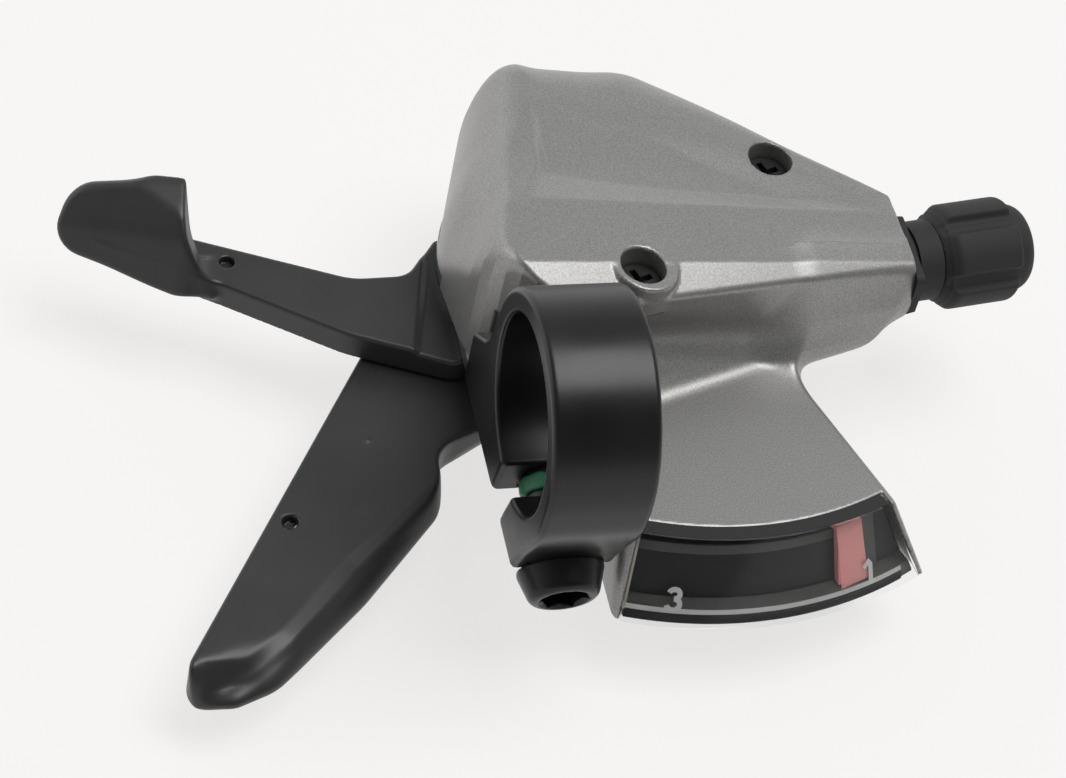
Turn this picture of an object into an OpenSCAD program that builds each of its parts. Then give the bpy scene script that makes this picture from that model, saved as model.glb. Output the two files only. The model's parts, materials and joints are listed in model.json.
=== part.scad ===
// Handlebar gear shifter with a thumb lever, a finger trigger and a gear display.
// Millimetres. The origin is the centre of the handlebar bore at the middle of the band.
// +X runs along the handlebar towards the cable, +Y points forward, +Z is up along the axle.

/* [Handlebar clamp] */
// diameter of the handlebar
bar_d = 22.2; // [22:0.1:22.6]
// wall of the clamp band
band_wall = 2.8; // [2.4:0.1:3.4]
// width of the clamp band along the bar
band_w = 12; // [10:0.5:13]
// thread diameter of the clamp bolt
clamp_bolt_d = 6; // [5:0.5:6]
// head diameter of the clamp bolt
clamp_head_d = 9.4; // [8.5:0.1:10]
// gap of the slit at rest
slit_gap = 4.2; // [3:0.1:4.8]

/* [Main axle and drum] */
// place of the axle along the bar
axle_x = 13; // [12.5:0.1:13.5]
// place of the axle in front of the bar
axle_y = 37.5; // [37:0.1:38]
// radius of the axle
axle_r = 4; // [3.5:0.1:4.2]
// radius at which the cable winds
groove_r = 12.4; // [12:0.1:12.6]
// height of the flange above the cable groove
flange_h = 2; // [1.5:0.1:2.2]
// yaw of the cable line
cable_yaw = 7.7; // [6:0.1:9]
// drum turn from one gear to the next
click_deg = 26; // [24:0.5:27]
// tip radius of the ratchet plate
ratchet_r = 9.8; // [9.4:0.1:10]
// radial running clearance on the axle
run_gap = 0.05; // [0.03:0.01:0.09]

/* [Heights] */
// height of the cable line
cable_z = -11; // [-11.2:0.1:-10.8]
// thickness of the drum
drum_h = 6; // [5.4:0.1:6.2]
// thickness of the ratchet plate
ratchet_h = 2; // [1.6:0.1:2.2]
// thickness of the base plate
plate_h = 1.8; // [1.5:0.1:2]
// thickness of the steel cores of both levers
core_h = 1.8; // [1.5:0.1:2]
// small gap between parts that turn over each other
turn_gap = 0.2; // [0.15:0.05:0.3]

/* [Cover] */
// height of the cover's top at the bar's mid plane
crown_z = 2; // [1.5:0.1:2.5]
// fall of the cover's top towards the cable
crown_fall = 0.13; // [0.12:0.005:0.14]
// height at which the cover's walls start to curve in
shoulder_z = -8.5; // [-9:0.1:-8]
// wall of the cover
cover_wall = 1.8; // [1.5:0.1:2]
// head diameter of the cover screws
cover_screw_d = 5; // [4.8:0.1:5.6]
// radius of the posts under the cover screws
post_r = 1.8; // [1.6:0.1:1.9]

/* [Display] */
// outer radius of the window's top edge
window_r = 42.4; // [42:0.1:43]
// slope of the window outwards for each unit down
window_slope = 0.5; // [0.45:0.01:0.55]
// top of the display hood
hood_z = -14; // [-14.2:0.1:-13.8]
// height of the window
window_h = 10; // [9:0.5:11]
// thickness of the window, level
window_t = 1.8; // [1.5:0.1:2]
// travel of the needle from the first to the last gear
needle_deg = 28; // [27:0.5:29]

/* [Levers] */
// travel of the trigger
trigger_deg = 14; // [10:1:15]
// travel of the thumb lever
thumb_deg = 55; // [50:1:56]
// height of the finger paddle above the trigger's top
paddle_h = 7.4; // [6:0.1:8]
// thickness of the thumb lever's arm
thumb_h = 5.3; // [5:0.1:6]

/* [Adjuster] */
// outer radius of the barrel
barrel_r = 6.2; // [5.6:0.1:6.4]
// length of the fluted barrel
barrel_l = 12; // [11:0.5:13]
// radius of the casing socket
socket_r = 2.6; // [2.2:0.1:2.8]
// depth of the casing socket
socket_l = 8; // [6:0.5:9]
// travel of the adjuster
adjust_travel = 3; // [2:0.5:3.5]

/* [Hidden] */
$fn = 48;
axle = [axle_x, axle_y];
bar_r = bar_d / 2;
band_r = bar_r + band_wall;
fit_gap = 0.03;
pivot = [21.4, 34.2];
pivot_dist = norm(axle - pivot);
pivot_deg = atan2(axle[1] - pivot[1], axle[0] - pivot[0]);
needle_ratio = needle_deg / (2 * click_deg);
pin_r = pivot_dist * needle_ratio / (1 - needle_ratio);
pin_deg = pivot_deg + click_deg;
pin_rad = 1;

drum_z1 = cable_z + drum_h / 2;
drum_z0 = cable_z - drum_h / 2;
ratchet_z0 = drum_z0 - ratchet_h;
plate_z1 = ratchet_z0 - 1.2;
plate_z0 = plate_z1 - plate_h;
release_z1 = plate_z0 - turn_gap;
release_z0 = release_z1 - core_h;
trigger_z0 = release_z0 - 1.3;
trigger_z1 = release_z1 + 0.6;
trigger_root_z1 = release_z1 - 0.1;
spring_wire = 0.9;
lever_z1 = release_z0 - 2 * spring_wire - 0.7;
lever_z0 = lever_z1 - core_h;
thumb_z1 = trigger_z0 - 0.4;
thumb_z0 = thumb_z1 - thumb_h;
hub_z0 = lever_z0 - 3.9;
washer_h = 0.8;
nut_h = 2.6;
axle_head_z1 = drum_z1 + 1.8;
axle_head_h = 1.4;
axle_z0 = hub_z0 - turn_gap - washer_h - nut_h - 0.6;

needle_z1 = drum_z1 + 3.4;
needle_h = 1.2;
needle_low_z1 = hood_z - 1.9;
needle_low_h = 1;
needle_rest_deg = -72.3;
drop_r = 12.3;
drop_t = 1.2;

drive_r = ratchet_r + 2.8;
drive_deg = 318;
drive_eye_r = 1.85;
drive_pin_r = 1.2;
pawl_dist = 17;
pawl_deg = 24;
nose_deg = pawl_deg + 45;
pawl_pivot = [axle_x + pawl_dist * cos(pawl_deg), axle_y + pawl_dist * sin(pawl_deg)];
pawl_pin_r = 1.5;
plate_r = 18.6;
pawl_gap = 0.1;
lobe_r = 7.5;
release_len = pawl_dist - lobe_r;

tangent = [axle_x + groove_r * sin(cable_yaw), axle_y - groove_r * cos(cable_yaw), cable_z];
cap_x = 47.5;
cap_s = (cap_x - tangent[0]) / cos(cable_yaw);
shank_r = 3.45;
sleeve_r = 5.2;
collar_s = cap_s + 2.1;
barrel_s = collar_s + 3.2;

bolt_deg = 198;
bolt_t = bar_r + clamp_bolt_d / 2 + 0.9;
jaw_s = 1.7;
ear_s0 = jaw_s + slit_gap;
ear_s1 = ear_s0 + 6.8;

window_a0 = -107.5;
hood_a0 = -125;
hood_a1 = -50;
hood_x0 = 6.6;
hood_end = [39.6, -3.35, hood_z];
hood_end_normal = [0.877, 0.319, 0.359];
hood_end_wall = 0.7;
nose_edge = [37.8, 20.5, plate_z1 + 3.5];
nose_normal = [0.246, -0.717, -0.652];
hood_floor_z = hood_z - window_h - 0.5;

screw_a = [33.6, 40.6];
screw_b = [12.6, 20.9];
well_a_z = -7;
well_b_z = -3.6;
boss_h = 2;
boss_wall = 1;
cover_screw_r = 1.25;
well_r = cover_screw_d / 2 + 0.4;
foot_xs = [-2, 4];
foot_y = 15.8;
foot_screw_r = 1.6;
foot_head_r = 3;
foot_head_h = 1.4;

// the sub-part to make, or all of them

// a point at radius r and angle a around the centre c
function polar(c, r, a) = [c[0] + r * cos(a), c[1] + r * sin(a)];

// height of the cover's top plane above a point
function crown(p) = crown_z - crown_fall * p[0];

// outer radius of the window at a height
function window_out(z) = window_r + window_slope * (hood_z - z);

// points along one rounded corner; a corner is [x, y, radius]
function corner_arc(a, c, b, steps) =
  let (
    u = [a[0] - c[0], a[1] - c[1]],
    v = [b[0] - c[0], b[1] - c[1]],
    un = u / norm(u),
    vn = v / norm(v),
    half = acos(max(-1, min(1, un * vn))) / 2,
    reach = c[2] / tan(half),
    mid = (un + vn) / norm(un + vn),
    o = [c[0], c[1]] + mid * c[2] / sin(half),
    s = [c[0], c[1]] + un * reach - o,
    e = [c[0], c[1]] + vn * reach - o,
    turn = atan2(s[0] * e[1] - s[1] * e[0], s * e)
  )
  [for (i = [0:steps])
    let (t = turn * i / steps)
    o + [s[0] * cos(t) - s[1] * sin(t), s[0] * sin(t) + s[1] * cos(t)]];

// an outline with every corner rounded
function rounded(corners, steps = 5) =
  let (n = len(corners))
  [for (i = [0:n - 1])
    each corner_arc(corners[(i + n - 1) % n], corners[i], corners[(i + 1) % n], steps)];

// an outline whose corners are all moved towards a centre
function drawn_in(corners, by, c) =
  [for (p = corners)
    let (d = [c[0] - p[0], c[1] - p[1]])
    [p[0] + by * d[0] / norm(d), p[1] + by * d[1] / norm(d), max(0.2, p[2] - by)]];

// a slab between two heights
module slab(z0, z1) {
  translate([0, 0, z0])
    linear_extrude(z1 - z0)
      children();
}

// a flat bar with round ends
module bar(a, b, r) {
  translate(a) circle(r);
  translate(b) circle(r);
  translate(a)
    rotate(atan2(b[1] - a[1], b[0] - a[0]))
      translate([0, -r])
        square([norm(b - a), 2 * r]);
}

// a profile in the YZ plane, extruded along X about the mid plane
module across(width) {
  translate([-width / 2, 0, 0])
    rotate([90, 0, 90])
      linear_extrude(width)
        children();
}

// the frame of the clamp bolt: local X runs towards the bolt head, local Y away from the bar
module bolt_frame() {
  rotate(bolt_deg) children();
}

// the cable line as a frame whose X axis runs out of the adjuster
module cable_frame() {
  translate(tangent)
    rotate([0, 0, cable_yaw])
      rotate([0, 90, 0])
        children();
}

// a sector around the needle pivot from a profile of radius and height
module sector(a0, a1) {
  translate([pivot[0], pivot[1], 0])
    rotate([0, 0, a0])
      rotate_extrude(angle = a1 - a0, $fn = 120)
        children();
}

// a coil swept as one tube
module coil(r, wire, turns, pitch) {
  rings = 8;
  sides = 6;
  n = ceil(turns * rings);
  points = [
    for (i = [0:n], j = [0:sides - 1])
      let (a = 360 * i / rings, b = 360 * j / sides, q = r + wire / 2 * cos(b))
      [q * cos(a), q * sin(a), pitch * i / rings + wire / 2 * sin(b)]
  ];
  skin = [
    for (i = [0:n - 1], j = [0:sides - 1])
      let (k = (j + 1) % sides, p = i * sides, q = p + sides)
      each [[p + j, p + k, q + k], [p + j, q + k, q + j]]
  ];
  first = [for (j = [sides - 1:-1:0]) j];
  last = [for (j = [0:sides - 1]) n * sides + j];
  polyhedron(points, concat(skin, [first, last]), convexity = 6);
}

// the cover's outlines at the shoulder and at the top edge
cover_base = [
  [-4.6, 16.6, 10], [47.5, 21.4, 1.5], [47.5, 35.4, 2],
  [19.8, 59.4, 9], [1, 59.4, 8], [-6.6, 37, 12]
];
cover_top = [
  [-1.4, 17.6, 3], [46.6, 20.9, 1], [46.6, 31.4, 1],
  [17.2, 48.6, 5], [4.8, 48.4, 4], [0.3, 32, 6]
];
cover_mid = [20, 38];

// the cover's body as a loft from its foot over the shoulder to the top edge
module cover_loft(inset, foot_z) {
  base = rounded(drawn_in(cover_base, inset, cover_mid));
  top = rounded(drawn_in(cover_top, inset, cover_mid));
  n = len(base);
  steps = 4;
  drop = inset;
  rings = concat(
    [[for (p = base) [p[0], p[1], foot_z]]],
    [for (i = [0:steps])
      let (f = 90 * i / steps)
      [for (k = [0:n - 1])
        let (q = base[k] + (1 - cos(f)) * (top[k] - base[k]))
        [q[0], q[1], shoulder_z + sin(f) * (crown(top[k]) - drop - shoulder_z)]]]
  );
  points = [for (ring = rings) each ring];
  rows = len(rings);
  skin = [
    for (i = [0:rows - 2], k = [0:n - 1])
      let (m = (k + 1) % n, a = i * n, b = a + n)
      each [[a + k, b + k, b + m], [a + k, b + m, a + m]]
  ];
  under = [for (k = [0:n - 1]) k];
  over = [for (k = [n - 1:-1:0]) (rows - 1) * n + k];
  polyhedron(points, concat(skin, [under, over]), convexity = 4);
}

// the three planes of the cover's top, lowered by the wall inside
module cover_roof(lower) {
  far = 80;
  deep = 40;
  ridge_rear = 20.4;
  ridge_front = 30.8;
  translate([0, 0, crown_z - lower])
    rotate([0, atan(crown_fall), 0])
      rotate([0, 0, 1.5])
        translate([-20, 0, 0])
          rotate([90, 0, 90])
            linear_extrude(90)
              polygon([
                [5, -deep], [far, -deep], [far, -0.12 * (far - ridge_front)],
                [ridge_front, 0], [ridge_rear, 0], [5, -0.75 * (ridge_rear - 5)]
              ]);
}

// the display hood: one turned wedge with the window's opening cut into it
module hood_shell() {
  top_t = 1.4;
  plate_r0 = 15;
  cheek_r0 = 21;
  rim = window_r - window_t - 0.1;
  difference() {
    ended_sector(hood_a0, 0)
      polygon([
        [plate_r0, hood_z - top_t], [cheek_r0, hood_z - top_t], [cheek_r0, hood_floor_z],
        [window_out(hood_floor_z), hood_floor_z], [window_r, hood_z], [plate_r0, hood_z]
      ]);
    ended_sector(window_a0, hood_end_wall)
      polygon([
        [cheek_r0 - 1, hood_floor_z - 1], [60, hood_floor_z - 1], [60, hood_z + 1],
        [rim - window_slope, hood_z + 1], [rim + window_slope * top_t, hood_z - top_t],
        [cheek_r0 - 1, hood_z - top_t]
      ]);
    translate([hood_x0 - 40, -30, hood_floor_z - 5])
      cube([40, 70, 30]);
  }
}

// the wedge between the cover's rear wall and the hood's plate
module hood_slope() {
  left = 13;
  right = 40;
  rise = 3.2;
  polyhedron(
    [
      [left, 19, hood_z - 1], [left, 12.2, hood_z - 0.2], [left, 17.2, hood_z + rise],
      [right, 22, hood_z - 1], [right, 20.2, hood_z - 0.2], [right, 20.4, hood_z + rise + 0.6]
    ],
    [[0, 2, 1], [3, 4, 5], [0, 4, 3], [0, 1, 4], [1, 5, 4], [1, 2, 5], [2, 3, 5], [2, 0, 3]]
  );
}

// everything on the inner side of a plane, which is moved in by a wall
module half_space(point, normal, wall) {
  size = 200;
  translate(point)
    rotate([0, acos(normal[2] / norm(normal)), atan2(normal[1], normal[0])])
      translate([-size / 2, -size / 2, -size - wall])
        cube(size);
}

// the side of a slanted plane that the body keeps under its cable nose
module nose_side(wall) {
  half_space(nose_edge, nose_normal, wall);
}

// a sector of the display that stops at the hood's slanted right end
module ended_sector(a0, wall) {
  intersection() {
    sector(a0, hood_a1) children();
    half_space(hood_end, hood_end_normal, wall);
  }
}

module top_cover() {
  color([0.42, 0.41, 0.40])
    difference() {
      union() {
        difference() {
          intersection() {
            cover_loft(0, plate_z1);
            cover_roof(0);
            nose_side(0);
          }
          intersection() {
            cover_loft(cover_wall, plate_z1 - 1);
            cover_roof(cover_wall);
            nose_side(cover_wall);
          }
        }
        hood_shell();
        difference() {
          intersection() {
            hood_slope();
            nose_side(0);
          }
          cover_loft(cover_wall / 2, plate_z1 - 1);
        }
        intersection() {
          union() {
            screw_boss(screw_a, well_a_z);
            screw_boss(screw_b, well_b_z);
            translate([pivot[0], pivot[1], needle_z1 + turn_gap]) cylinder(r = 3, h = 8);
          }
          cover_loft(0.2, plate_z1);
          cover_roof(0.2);
        }
      }
      // wells and through holes of the two cover screws
      screw_well(screw_a, well_a_z);
      screw_well(screw_b, well_b_z);
      // the needle screw's thread
      translate([pivot[0], pivot[1], needle_z1 - 1]) cylinder(r = 1.2 + fit_gap, h = 2.6 + 1);
      // room for the clamp's foot and the way out of the needle
      translate([-10, 0, -30])
        cube([10 + band_w / 2 + 0.4, 21.4, 30 + shoulder_z + 1.4]);
      sector(-109, -62)
        polygon([
          [drop_r - 2, plate_z1 - 1], [20.8, plate_z1 - 1], [20.8, hood_z - 1.4],
          [drop_r + drop_t + turn_gap, hood_z - 1.4],
          [drop_r + drop_t + turn_gap, needle_z1 + turn_gap], [drop_r - 2, needle_z1 + turn_gap]
        ]);
      // relief of the rear post in the wall
      translate([screw_b[0], screw_b[1], plate_z1 - 1])
        cylinder(r = post_r + 0.1, h = well_b_z - boss_h - plate_z1 + 1);
      // the sleeve of the end cap
      cable_frame()
        translate([0, 0, cap_s - 12]) cylinder(r = sleeve_r + 0.1, h = 20);
    }
}

module screw_boss(p, well_z) {
  translate([p[0], p[1], well_z - boss_h]) cylinder(r = well_r + boss_wall, h = boss_h + 8);
}

module screw_well(p, well_z) {
  translate([p[0], p[1], well_z]) cylinder(r = well_r, h = 12);
  translate([p[0], p[1], well_z - boss_h - 1]) cylinder(r = cover_screw_r + 0.15, h = boss_h + 2);
}

module cover_screws() {
  color([0.06, 0.06, 0.06]) {
    cover_screw(screw_a, well_a_z);
    cover_screw(screw_b, well_b_z);
  }
}

module cover_screw(p, well_z) {
  arm = 0.8;
  translate([p[0], p[1], well_z])
    difference() {
      union() {
        cylinder(r = cover_screw_d / 2, h = 1.3);
        translate([0, 0, -6]) cylinder(r = cover_screw_r, h = 6);
      }
      for (a = [0, 90])
        rotate([0, 0, a + 20])
          translate([-1.7, -arm / 2, 0.3])
            cube([3.4, arm, 2]);
    }
}

module cover_posts() {
  color([0.6, 0.62, 0.64]) {
    cover_post(screw_a, well_a_z, 2.4);
    cover_post(screw_b, well_b_z, post_r);
  }
}

module cover_post(p, well_z, r) {
  top = well_z - boss_h;
  translate([p[0], p[1], plate_z1])
    difference() {
      cylinder(r = r, h = top - plate_z1);
      translate([0, 0, top - plate_z1 - 6]) cylinder(r = cover_screw_r + fit_gap, h = 7);
    }
}

// the band: ring, ear, fixed jaw and foot, split at the slit
module clamp_band() {
  color([0.07, 0.07, 0.075])
    difference() {
      union() {
        across(band_w) circle(band_r, $fn = 96);
        across(band_w) bolt_frame() ear_outline();
        across(band_w) bolt_frame() jaw_outline();
        across(band_w) foot_outline();
      }
      across(band_w + 2) circle(bar_r, $fn = 96);
      across(band_w + 2)
        bolt_frame()
          translate([jaw_s, 0])
            square([slit_gap, 40]);
      bolt_axis()
        translate([0, 0, ear_s0 - 0.5]) cylinder(r = clamp_bolt_d / 2 + 0.25, h = 20);
      bolt_axis()
        translate([0, 0, -8]) cylinder(r = clamp_bolt_d / 2, h = 8 + jaw_s + 0.5);
      for (x = foot_xs)
        translate([x, foot_y, plate_z1 - 0.1]) cylinder(r = foot_screw_r + fit_gap, h = 6.1);
    }
}

module ear_outline() {
  polygon([
    [ear_s0, 4], [ear_s1 + 0.9, -3], [ear_s1, 9], [ear_s1, bolt_t + 3.2],
    [ear_s1 - 1.4, bolt_t + 4.6], [ear_s0, bolt_t + 4.6]
  ]);
}

module jaw_outline() {
  polygon([
    [jaw_s, 4], [jaw_s, bolt_t + 3.6], [jaw_s - 1, bolt_t + 4.6], [-9, bolt_t + 4.6], [-13, 4]
  ]);
}

module foot_outline() {
  polygon([[9, -7.4], [13, -3.5], [20.5, -9.6], [20.5, plate_z1], [9, plate_z1]]);
}

// the clamp bolt's axis as the local Z axis, towards its head
module bolt_axis() {
  rotate([bolt_deg, 0, 0])
    translate([0, 0, bolt_t])
      rotate([-90, 0, 0])
        children();
}

module clamp_bolt() {
  shank_r = clamp_bolt_d / 2 - fit_gap;
  head_h = 3.8;
  color([0.12, 0.12, 0.12])
    bolt_axis()
      difference() {
        union() {
          translate([0, 0, -7.5]) cylinder(r = shank_r, h = 7.5 + ear_s1);
          translate([0, 0, ear_s1])
            rotate_extrude()
              polygon([
                [0, 0], [clamp_head_d / 2, 0], [clamp_head_d / 2, head_h - 1.2],
                [clamp_head_d / 2 - 1.1, head_h], [0, head_h]
              ]);
        }
        translate([0, 0, ear_s1 + 1.2]) cylinder(r = 5 / sqrt(3), h = 5, $fn = 6);
      }
}

module foot_screws() {
  color([0.5, 0.52, 0.54])
    for (x = foot_xs)
      translate([x, foot_y, plate_z0])
        difference() {
          rotate_extrude()
            polygon([
              [0, 0], [foot_head_r, 0], [foot_screw_r, foot_head_h],
              [foot_screw_r, plate_h + 5.5], [0, plate_h + 5.5]
            ]);
          for (a = [0, 90])
            rotate([0, 0, a])
              translate([-1.6, -0.4, -0.1])
                cube([3.2, 0.8, 1]);
        }
}

module base_plate() {
  slot_w = drive_pin_r + 0.5;
  color([0.66, 0.69, 0.72])
    difference() {
      intersection() {
        slab(plate_z0, plate_z1) plate_outline();
        nose_side(0.4);
      }
      translate([axle_x, axle_y, plate_z0 - 1]) cylinder(r = axle_r + fit_gap, h = plate_h + 2);
      translate([pawl_pivot[0], pawl_pivot[1], plate_z0 - 1])
        cylinder(r = pawl_pin_r + run_gap, h = plate_h + 2);
      // arc slot that the drive pawl's pin sweeps
      translate([axle_x, axle_y, 0])
        rotate([0, 0, drive_deg - thumb_deg - 3])
          rotate_extrude(angle = thumb_deg + 6, $fn = 96)
            translate([drive_r - slot_w, plate_z0 - 1])
              square([2 * slot_w, plate_h + 2]);
      for (a = [drive_deg - thumb_deg - 3, drive_deg + 3])
        translate(concat(polar(axle, drive_r, a), [plate_z0 - 1]))
          cylinder(r = slot_w, h = plate_h + 2);
      for (x = foot_xs)
        translate([x, foot_y, plate_z0])
          rotate_extrude()
            polygon([
              [0, -1], [foot_head_r + fit_gap, -1], [foot_head_r + fit_gap, 0],
              [foot_screw_r + fit_gap, foot_head_h], [foot_screw_r + fit_gap, 4], [0, 4]
            ]);
    }
}

module plate_outline() {
  translate(axle) circle(plate_r, $fn = 96);
  polygon([[-5, 11.4], [6.3, 11.4], [6.3, 30], [-5, 30]]);
  polygon(rounded([
    [3, 17.6, 0.5], [44, 21.6, 1.5], [44, 37.2, 2], [19.4, 58.4, 8], [1.6, 58.4, 7], [-5.4, 37, 8]
  ]));
}

// the plate that closes the cover's cable end, flush with the cover all round
module end_cap() {
  cap_t = 1;
  rear_y = 21.5;
  front_y = 35.3;
  color([0.05, 0.05, 0.05])
    difference() {
      union() {
        intersection() {
          translate([cap_x, 0, 0])
            rotate([90, 0, 90])
              linear_extrude(cap_t)
                polygon(rounded([
                  [rear_y, plate_z1, 0.5], [front_y, plate_z1, 2], [front_y, shoulder_z, 1.5],
                  [front_y - 3.4, shoulder_z + 3.6, 1], [rear_y, shoulder_z + 3.6, 0.8]
                ]));
          cover_roof(0.2);
          nose_side(0.2);
        }
        cable_frame()
          translate([0, 0, cap_s - 11]) cylinder(r = sleeve_r, h = 11 + cap_t / 2);
      }
      cable_frame() {
        translate([0, 0, cap_s - 20]) cylinder(r = shank_r + 0.08, h = 40);
        translate([0, 0, cap_s - 2.6]) cylinder(r = 4.55, h = 20);
      }
    }
}

module adjuster_collar() {
  skirt_r = 4.45;
  color([0.04, 0.04, 0.04])
    cable_frame()
      difference() {
        union() {
          translate([0, 0, cap_s + 0.1]) cylinder(r = skirt_r, h = collar_s - cap_s);
          translate([0, 0, collar_s]) cylinder(r = 4.9, h = barrel_s - collar_s - 0.1);
        }
        translate([0, 0, cap_s - 1]) cylinder(r = shank_r + 0.08, h = 20);
      }
}

module adjuster_spring() {
  color([0.7, 0.7, 0.72])
    cable_frame()
      translate([0, 0, cap_s - 2.2])
        coil(4, 0.5, 2.5, 0.75);
}

module adjuster_barrel() {
  flutes = 5;
  flute_r = 0.9;
  flute_deg = 41;
  chamfer = 1.6;
  grip_l = barrel_l - 2.9;
  tail_r = barrel_r - 1.1;
  color([0.05, 0.05, 0.052])
    cable_frame()
      difference() {
        union() {
          translate([0, 0, cap_s - 8]) cylinder(r = shank_r, h = barrel_s - cap_s + 9);
          translate([0, 0, barrel_s])
            rotate_extrude()
              polygon([
                [0, 0], [barrel_r - chamfer, 0], [barrel_r, chamfer], [barrel_r, grip_l],
                [tail_r, grip_l], [tail_r, barrel_l - 1], [tail_r - 1, barrel_l], [0, barrel_l]
              ]);
        }
        for (i = [0:flutes - 1])
          rotate([0, 0, flute_deg + i * 360 / flutes])
            translate([barrel_r + 0.3, 0, barrel_s - 1])
              cylinder(r = flute_r, h = barrel_l);
        translate([0, 0, barrel_s + barrel_l - socket_l]) cylinder(r = socket_r, h = socket_l + 1);
        translate([0, 0, cap_s - 20]) cylinder(r = 0.9, h = 60);
      }
}

module indicator_window() {
  z1 = hood_z - 0.05;
  z0 = hood_z - window_h;
  color([0.9, 0.93, 0.95, 0.35])
    ended_sector(window_a0 + 0.05, hood_end_wall + 0.05)
      polygon([
        [window_out(z1) - window_t, z1], [window_out(z1), z1],
        [window_out(z0), z0], [window_out(z0) - window_t, z0]
      ]);
}

module indicator_dial() {
  z1 = needle_low_z1 - needle_low_h - 0.3;
  z0 = hood_floor_z + 1.3;
  back = window_t + 1.9;
  color([0.03, 0.03, 0.03])
    ended_sector(window_a0 + 0.3, hood_end_wall + 0.3)
      polygon([
        [window_out(z1) - back - 1.3, z1], [window_out(z1) - back, z1],
        [window_out(z0) - back, z0], [window_out(z0) - back - 1.3, z0]
      ]);
}

module indicator_case() {
  inner = 16.2;
  wall = 1.6;
  floor_t = 1.2;
  edge = window_t + 0.3;
  z0 = hood_floor_z;
  color([0.05, 0.05, 0.05])
    ended_sector(window_a0 + 0.3, hood_end_wall + 0.3)
      polygon([
        [inner, z0], [window_out(z0) - edge, z0], [window_out(z0 + floor_t) - edge, z0 + floor_t],
        [inner + wall, z0 + floor_t], [inner + wall, plate_z0 - 0.3], [inner, plate_z0 - 0.3]
      ]);
}

module main_axle() {
  color([0.62, 0.64, 0.66])
    translate([axle_x, axle_y, 0]) {
      translate([0, 0, axle_z0]) cylinder(r = axle_r, h = axle_head_z1 - axle_z0 - 0.5);
      translate([0, 0, axle_head_z1 - axle_head_h]) cylinder(r = 6.4, h = axle_head_h);
    }
}

module drum_washer() {
  ring([0.7, 0.7, 0.7], axle_r + fit_gap, 7.5, plate_z1, ratchet_z0 - 0.1);
}

module axle_washer() {
  ring([0.7, 0.7, 0.7], axle_r + fit_gap, 7, hub_z0 - 0.1 - washer_h, hub_z0 - 0.1);
}

module axle_nut() {
  z1 = hub_z0 - 0.1 - washer_h;
  color([0.6, 0.62, 0.64])
    difference() {
      slab(z1 - nut_h, z1)
        translate(axle) circle(r = 6.4, $fn = 6);
      translate([axle_x, axle_y, z1 - nut_h - 1]) cylinder(r = axle_r + fit_gap, h = nut_h + 2);
    }
}

module ring(shade, r0, r1, z0, z1) {
  color(shade)
    translate([axle_x, axle_y, z0])
      difference() {
        cylinder(r = r1, h = z1 - z0);
        translate([0, 0, -1]) cylinder(r = r0, h = z1 - z0 + 2);
      }
}

module cable_drum() {
  flange_r = groove_r + flange_h;
  pocket_r = 7;
  groove_w = 2;
  color([0.85, 0.84, 0.8])
    difference() {
      union() {
        translate([axle_x, axle_y, 0])
          rotate_extrude($fn = 96)
            polygon([
              [axle_r + run_gap, drum_z0], [ratchet_r - 0.6, drum_z0],
              [ratchet_r - 0.2, drum_z0 + 0.4],
              [flange_r, drum_z0 + 0.4], [flange_r, cable_z - groove_w / 2 - 0.6],
              [groove_r, cable_z - groove_w / 2], [groove_r, cable_z + groove_w / 2],
              [flange_r, cable_z + groove_w / 2 + 0.6], [flange_r, drum_z1], [pocket_r, drum_z1],
              [pocket_r, drum_z1 - 4], [axle_r + run_gap, drum_z1 - 4]
            ]);
        translate(concat(polar(axle, pin_r, pin_deg), [drum_z1 - 2]))
          cylinder(r = pin_rad, h = needle_z1 - drum_z1 + 2.3);
      }
      // seat of the cable's end, in line with the cable
      cable_frame()
        translate([0, 0, -9]) cylinder(r = 1.1, h = 9);
      cable_frame()
        translate([0, 0, -14]) cylinder(r = 2.3, h = 8);
    }
}

// a ratchet disc with two holding notches and two driving notches
module ratchet_plate() {
  depth = 1.8;
  color([0.55, 0.57, 0.6])
    difference() {
      slab(ratchet_z0, drum_z0)
        difference() {
          translate(axle) circle(ratchet_r, $fn = 96);
          for (i = [1, 2])
            translate(axle)
              rotate(nose_deg + i * click_deg)
                polygon([
                  [ratchet_r - depth, 0.9], [ratchet_r + 1, 1.2],
                  [ratchet_r + 1, -3.4], [ratchet_r - depth, -0.9]
                ]);
          for (i = [0, 1])
            translate(axle)
              rotate(288 + i * click_deg)
                polygon([
                  [ratchet_r - depth, -0.9], [ratchet_r + 1, -1.2],
                  [ratchet_r + 1, 3.4], [ratchet_r - depth, 0.9]
                ]);
        }
      translate([axle_x, axle_y, ratchet_z0 - 1]) cylinder(r = axle_r + run_gap, h = ratchet_h + 2);
    }
}

module drum_spring() {
  color([0.7, 0.7, 0.72])
    translate([axle_x, axle_y, drum_z1 - 3.4])
      coil(5.6, spring_wire, 2.75, 1.05);
}

module release_plate() {
  color([0.66, 0.69, 0.72])
    difference() {
      slab(release_z0, release_z1) {
        translate(axle) circle(5.8);
        polygon(trigger_core);
        bar(axle, polar(axle, lobe_r, pawl_deg - 20), 1.3);
      }
      translate([axle_x, axle_y, release_z0 - 1]) cylinder(r = axle_r + run_gap, h = core_h + 2);
    }
}

trigger_core = [
  [7, 43], [-9, 36.4], [-17, 36.4], [-25, 39], [-25, 34.6], [-16, 30.4], [-8, 29.4], [8, 31.5]
];

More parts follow.
